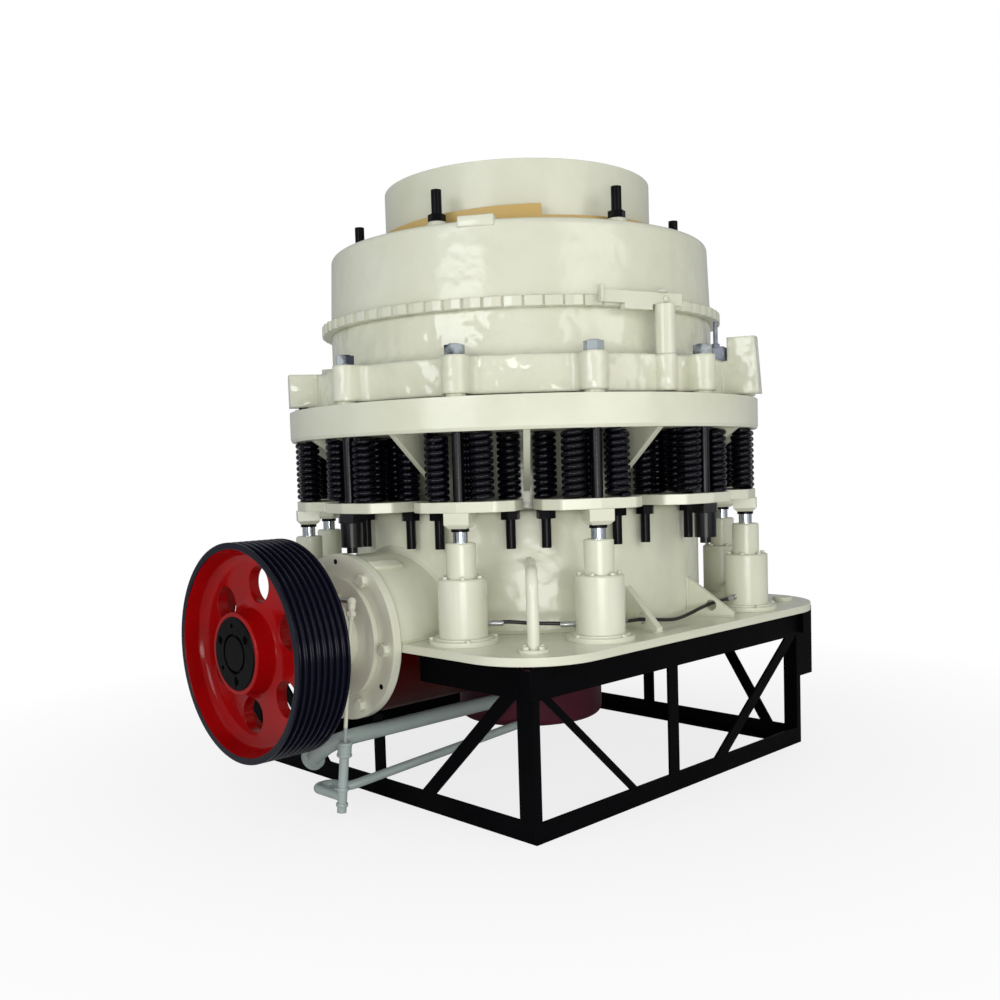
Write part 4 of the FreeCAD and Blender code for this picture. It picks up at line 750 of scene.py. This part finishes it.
# Pawl and lock: a screw and a cap nut hold the pawl arm to its post, with a raised stop
# at the arm's far end. A steel locking block with its rod stands behind the right lug.
arm_high = 1.865
pawl_turn = Matrix.Rotation(math.radians(-15.3), 4, "Z")
pawl_side = pawl_turn @ Matrix.Translation((0.881, 0.105, 1.842)) @ Matrix.Rotation(math.pi / 2, 4, "Y")
pawl_bolts = [copies(hex_screw(0.0135, 0.008), [pawl_side])]
pawl_bolts.append(copies(hex_screw(0.019, 0.006, 0.023, 0.002),
                         [pawl_turn @ Matrix.Translation((0.884, 0.088, arm_high))]))
bpy.ops.mesh.primitive_cube_add(size=1, location=(0, 0, 0))
stop = bpy.context.object
stop.data.transform(pawl_turn @ Matrix.Translation((0.873, -0.176, 1.851)) @ Matrix.Diagonal((0.022, 0.014, 0.060, 1)))
pawl_bolts.append(stop)
settle(joined(*pawl_bolts), "pawl_screws", "bowl", cream)

ear_top, ring_lug = 1.640, around(0.875, 0, 20)
block = rounded_block(ring_lug @ Matrix.Translation((0, 0, ear_top + 0.028)), (0.050, 0.086, 0.056), 0.004)
lock_rod = turned_piece([(0.009, ear_top + 0.05), (0.009, 1.798), (0.007, 1.800)], 20)
lock_rod.data.transform(around(0.857, 0.0, 20))
lock_nut = turned_piece([(0.017, ear_top + 0.056), (0.017, ear_top + 0.070), (0.0155, ear_top + 0.072)], 6)
lock_nut.data.transform(around(0.857, 0.0, 20))
blued, n, l = new_material("blued_steel")
n["Principled BSDF"].inputs["Metallic"].default_value = 0.7
n["Principled BSDF"].inputs["Roughness"].default_value = 0.38
place = n.new("ShaderNodeTexCoord")
stain = n.new("ShaderNodeTexNoise")
stain.inputs["Scale"].default_value = 18
stain.inputs["Detail"].default_value = 5
l.new(place.outputs["Object"], stain.inputs["Vector"])
blues = n.new("ShaderNodeValToRGB")
blues.color_ramp.elements[0].position = 0.35
blues.color_ramp.elements[0].color = (0.14, 0.15, 0.19, 1)
blues.color_ramp.elements[1].position = 0.65
blues.color_ramp.elements[1].color = (0.24, 0.26, 0.32, 1)
l.new(stain.outputs["Fac"], blues.inputs["Fac"])
l.new(blues.outputs["Color"], n["Principled BSDF"].inputs["Base Color"])
settle(joined(block, lock_rod, lock_nut), "locking_block", "bowl", blued)


# Cap washers: a round steel washer lies under each stud's nut, on the boss cast there.
# It is painted over with the cap.
cap_top, stud_circle = 2.137, 0.680
washers = copies(turned_piece([(0.0368, cap_top + 0.028), (0.0368, cap_top + 0.0305), (0.0355, cap_top + 0.032)], 28),
                 [around(stud_circle, 0, -72 + 60 * i) for i in range(6)])
settle(washers, "stud_washers", "bowl", cream)


# Locking lug: a thick steel block over the cap's top edge, in front of a round pad.
# It is welded on and painted with the cap.
lug_turn, lug_outer, lug_deep, lug_wide, lug_high = -56.5, 0.807, 0.073, 0.134, 0.040
lug_block = rounded_block(around(lug_outer - lug_deep / 2, 0, lug_turn, cap_top - 0.006),
                          (lug_deep, lug_wide, lug_high), 0.003, 2)
lug_pad = copies(turned_piece([(0.062, cap_top - 0.004), (0.062, cap_top + 0.006), (0.060, cap_top + 0.008)], 40),
                 [around(0.704, 0, -57)])
lock_lug = settle(joined(lug_block, lug_pad), "lock_lug", "bowl", cream_cast)
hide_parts("cap_lug")


# Rail ends: a flat plate closes the gap between two top rails at each corner of the
# stand. It is welded in and painted black with the bars.
stand_front, stand_back, rail_gap_x, rail_middle_z = -0.919, 0.800, 0.871, 0.5355
rail_ends = [rounded_block(Matrix.Translation((x_side * rail_gap_x, y, rail_middle_z)), (0.052, 0.008, 0.099), 0.0015)
             for x_side in (-1, 1) for y in (stand_front + 0.005, stand_back - 0.005)]
settle(joined(*rail_ends), "rail_ends", "frame", stand_black)


# Welds: the shell, the gussets and the housing are welded to the base plate and to each
# other, with a rippled bead on each side that is painted over in cream.
def weld_run(points, width, seed, step=0.006):
    # a run of weld along these points, a little uneven, as a rippled bead
    path = []
    for start, end in zip(points, points[1:]):
        pieces = max(1, round((end - start).length / step))
        path += [start.lerp(end, i / pieces) for i in range(pieces)]
    path.append(points[-1])
    curve = bpy.data.curves.new("weld", "CURVE")
    curve.dimensions = "3D"
    curve.bevel_depth = width
    curve.bevel_resolution = 0
    curve.use_fill_caps = True
    line = curve.splines.new("POLY")
    line.points.add(len(path) - 1)
    for i, spot in enumerate(path):
        wobble = math.sin(seed + 2.1 * i) * math.sin(1.3 * seed + 0.37 * i)
        line.points[i].co = (*(spot + Vector((0, 0, 0.12 * width * wobble))), 1)
        line.points[i].radius = 1.0 + 0.16 * (i % 2) + 0.10 * wobble
    run = bpy.data.objects.new("weld", curve)
    bpy.context.collection.objects.link(run)
    select_only(run)
    bpy.ops.object.convert(target="MESH")
    return bpy.context.object


def arc_points(radius, z, first, last, step_deg=2.0):
    count = max(2, round(abs(last - first) / step_deg))
    angles = [math.radians(first + (last - first) * i / count) for i in range(count + 1)]
    return [Vector((radius * math.cos(a), radius * math.sin(a), z)) for a in angles]


gusset_tip, gusset_top = 0.936, 0.783
runs = [weld_run(arc_points(shell_r + 0.002, plate_top + 0.002, -62, 242), 0.0075, 1)]
for x_side in (-1, 1):
    x = x_side * (housing_r + 0.001)
    runs.append(weld_run([Vector((x, -0.964, plate_top + 0.001)), Vector((x, -0.700, plate_top + 0.001))], 0.006, 2))
for i, angle in enumerate((-15, 15, 75, 105, 165, 195)):
    turn = Matrix.Rotation(math.radians(angle), 3, "Z")
    for t in (-0.0145, 0.0145):
        foot = [turn @ Vector((gusset_tip - 0.004, t, plate_top + 0.001)),
                turn @ Vector((shell_r + 0.003, t, plate_top + 0.001)),
                turn @ Vector((shell_r + 0.0005, t, gusset_top - 0.006))]
        runs.append(weld_run(foot, 0.005, i + t))
settle(joined(*runs), "frame_welds", "frame", cream, 60)


# Crushing chamber: the liner, the mantle and its feed plate are bare manganese castings,
# brown with flash rust between greyer worn patches.
casting, n, l = new_material("worn_manganese")
shader = n["Principled BSDF"]
shader.inputs["Metallic"].default_value = 0.6
place = n.new("ShaderNodeTexCoord")
rust = n.new("ShaderNodeTexNoise")
rust.inputs["Scale"].default_value = 6
rust.inputs["Detail"].default_value = 8
rust.inputs["Roughness"].default_value = 0.7
l.new(place.outputs["Object"], rust.inputs["Vector"])
tones = n.new("ShaderNodeValToRGB")
tones.color_ramp.elements[0].position = 0.40
tones.color_ramp.elements[0].color = (0.075, 0.045, 0.030, 1)
tones.color_ramp.elements[1].position = 0.60
tones.color_ramp.elements[1].color = (0.110, 0.105, 0.100, 1)
l.new(rust.outputs["Fac"], tones.inputs["Fac"])
l.new(tones.outputs["Color"], shader.inputs["Base Color"])
shader.inputs["Roughness"].default_value = 0.62
rough_skin = n.new("ShaderNodeBump")
rough_skin.inputs["Strength"].default_value = 0.7
rough_skin.inputs["Distance"].default_value = 0.003
l.new(rust.outputs["Fac"], rough_skin.inputs["Height"])
l.new(rough_skin.outputs["Normal"], shader.inputs["Normal"])
dress(casting, "bowl_liner", "head_mantle", "feed_plate")
dress(bush_black, "countershaft")


bpy.context.scene.view_settings.view_transform = "Standard"
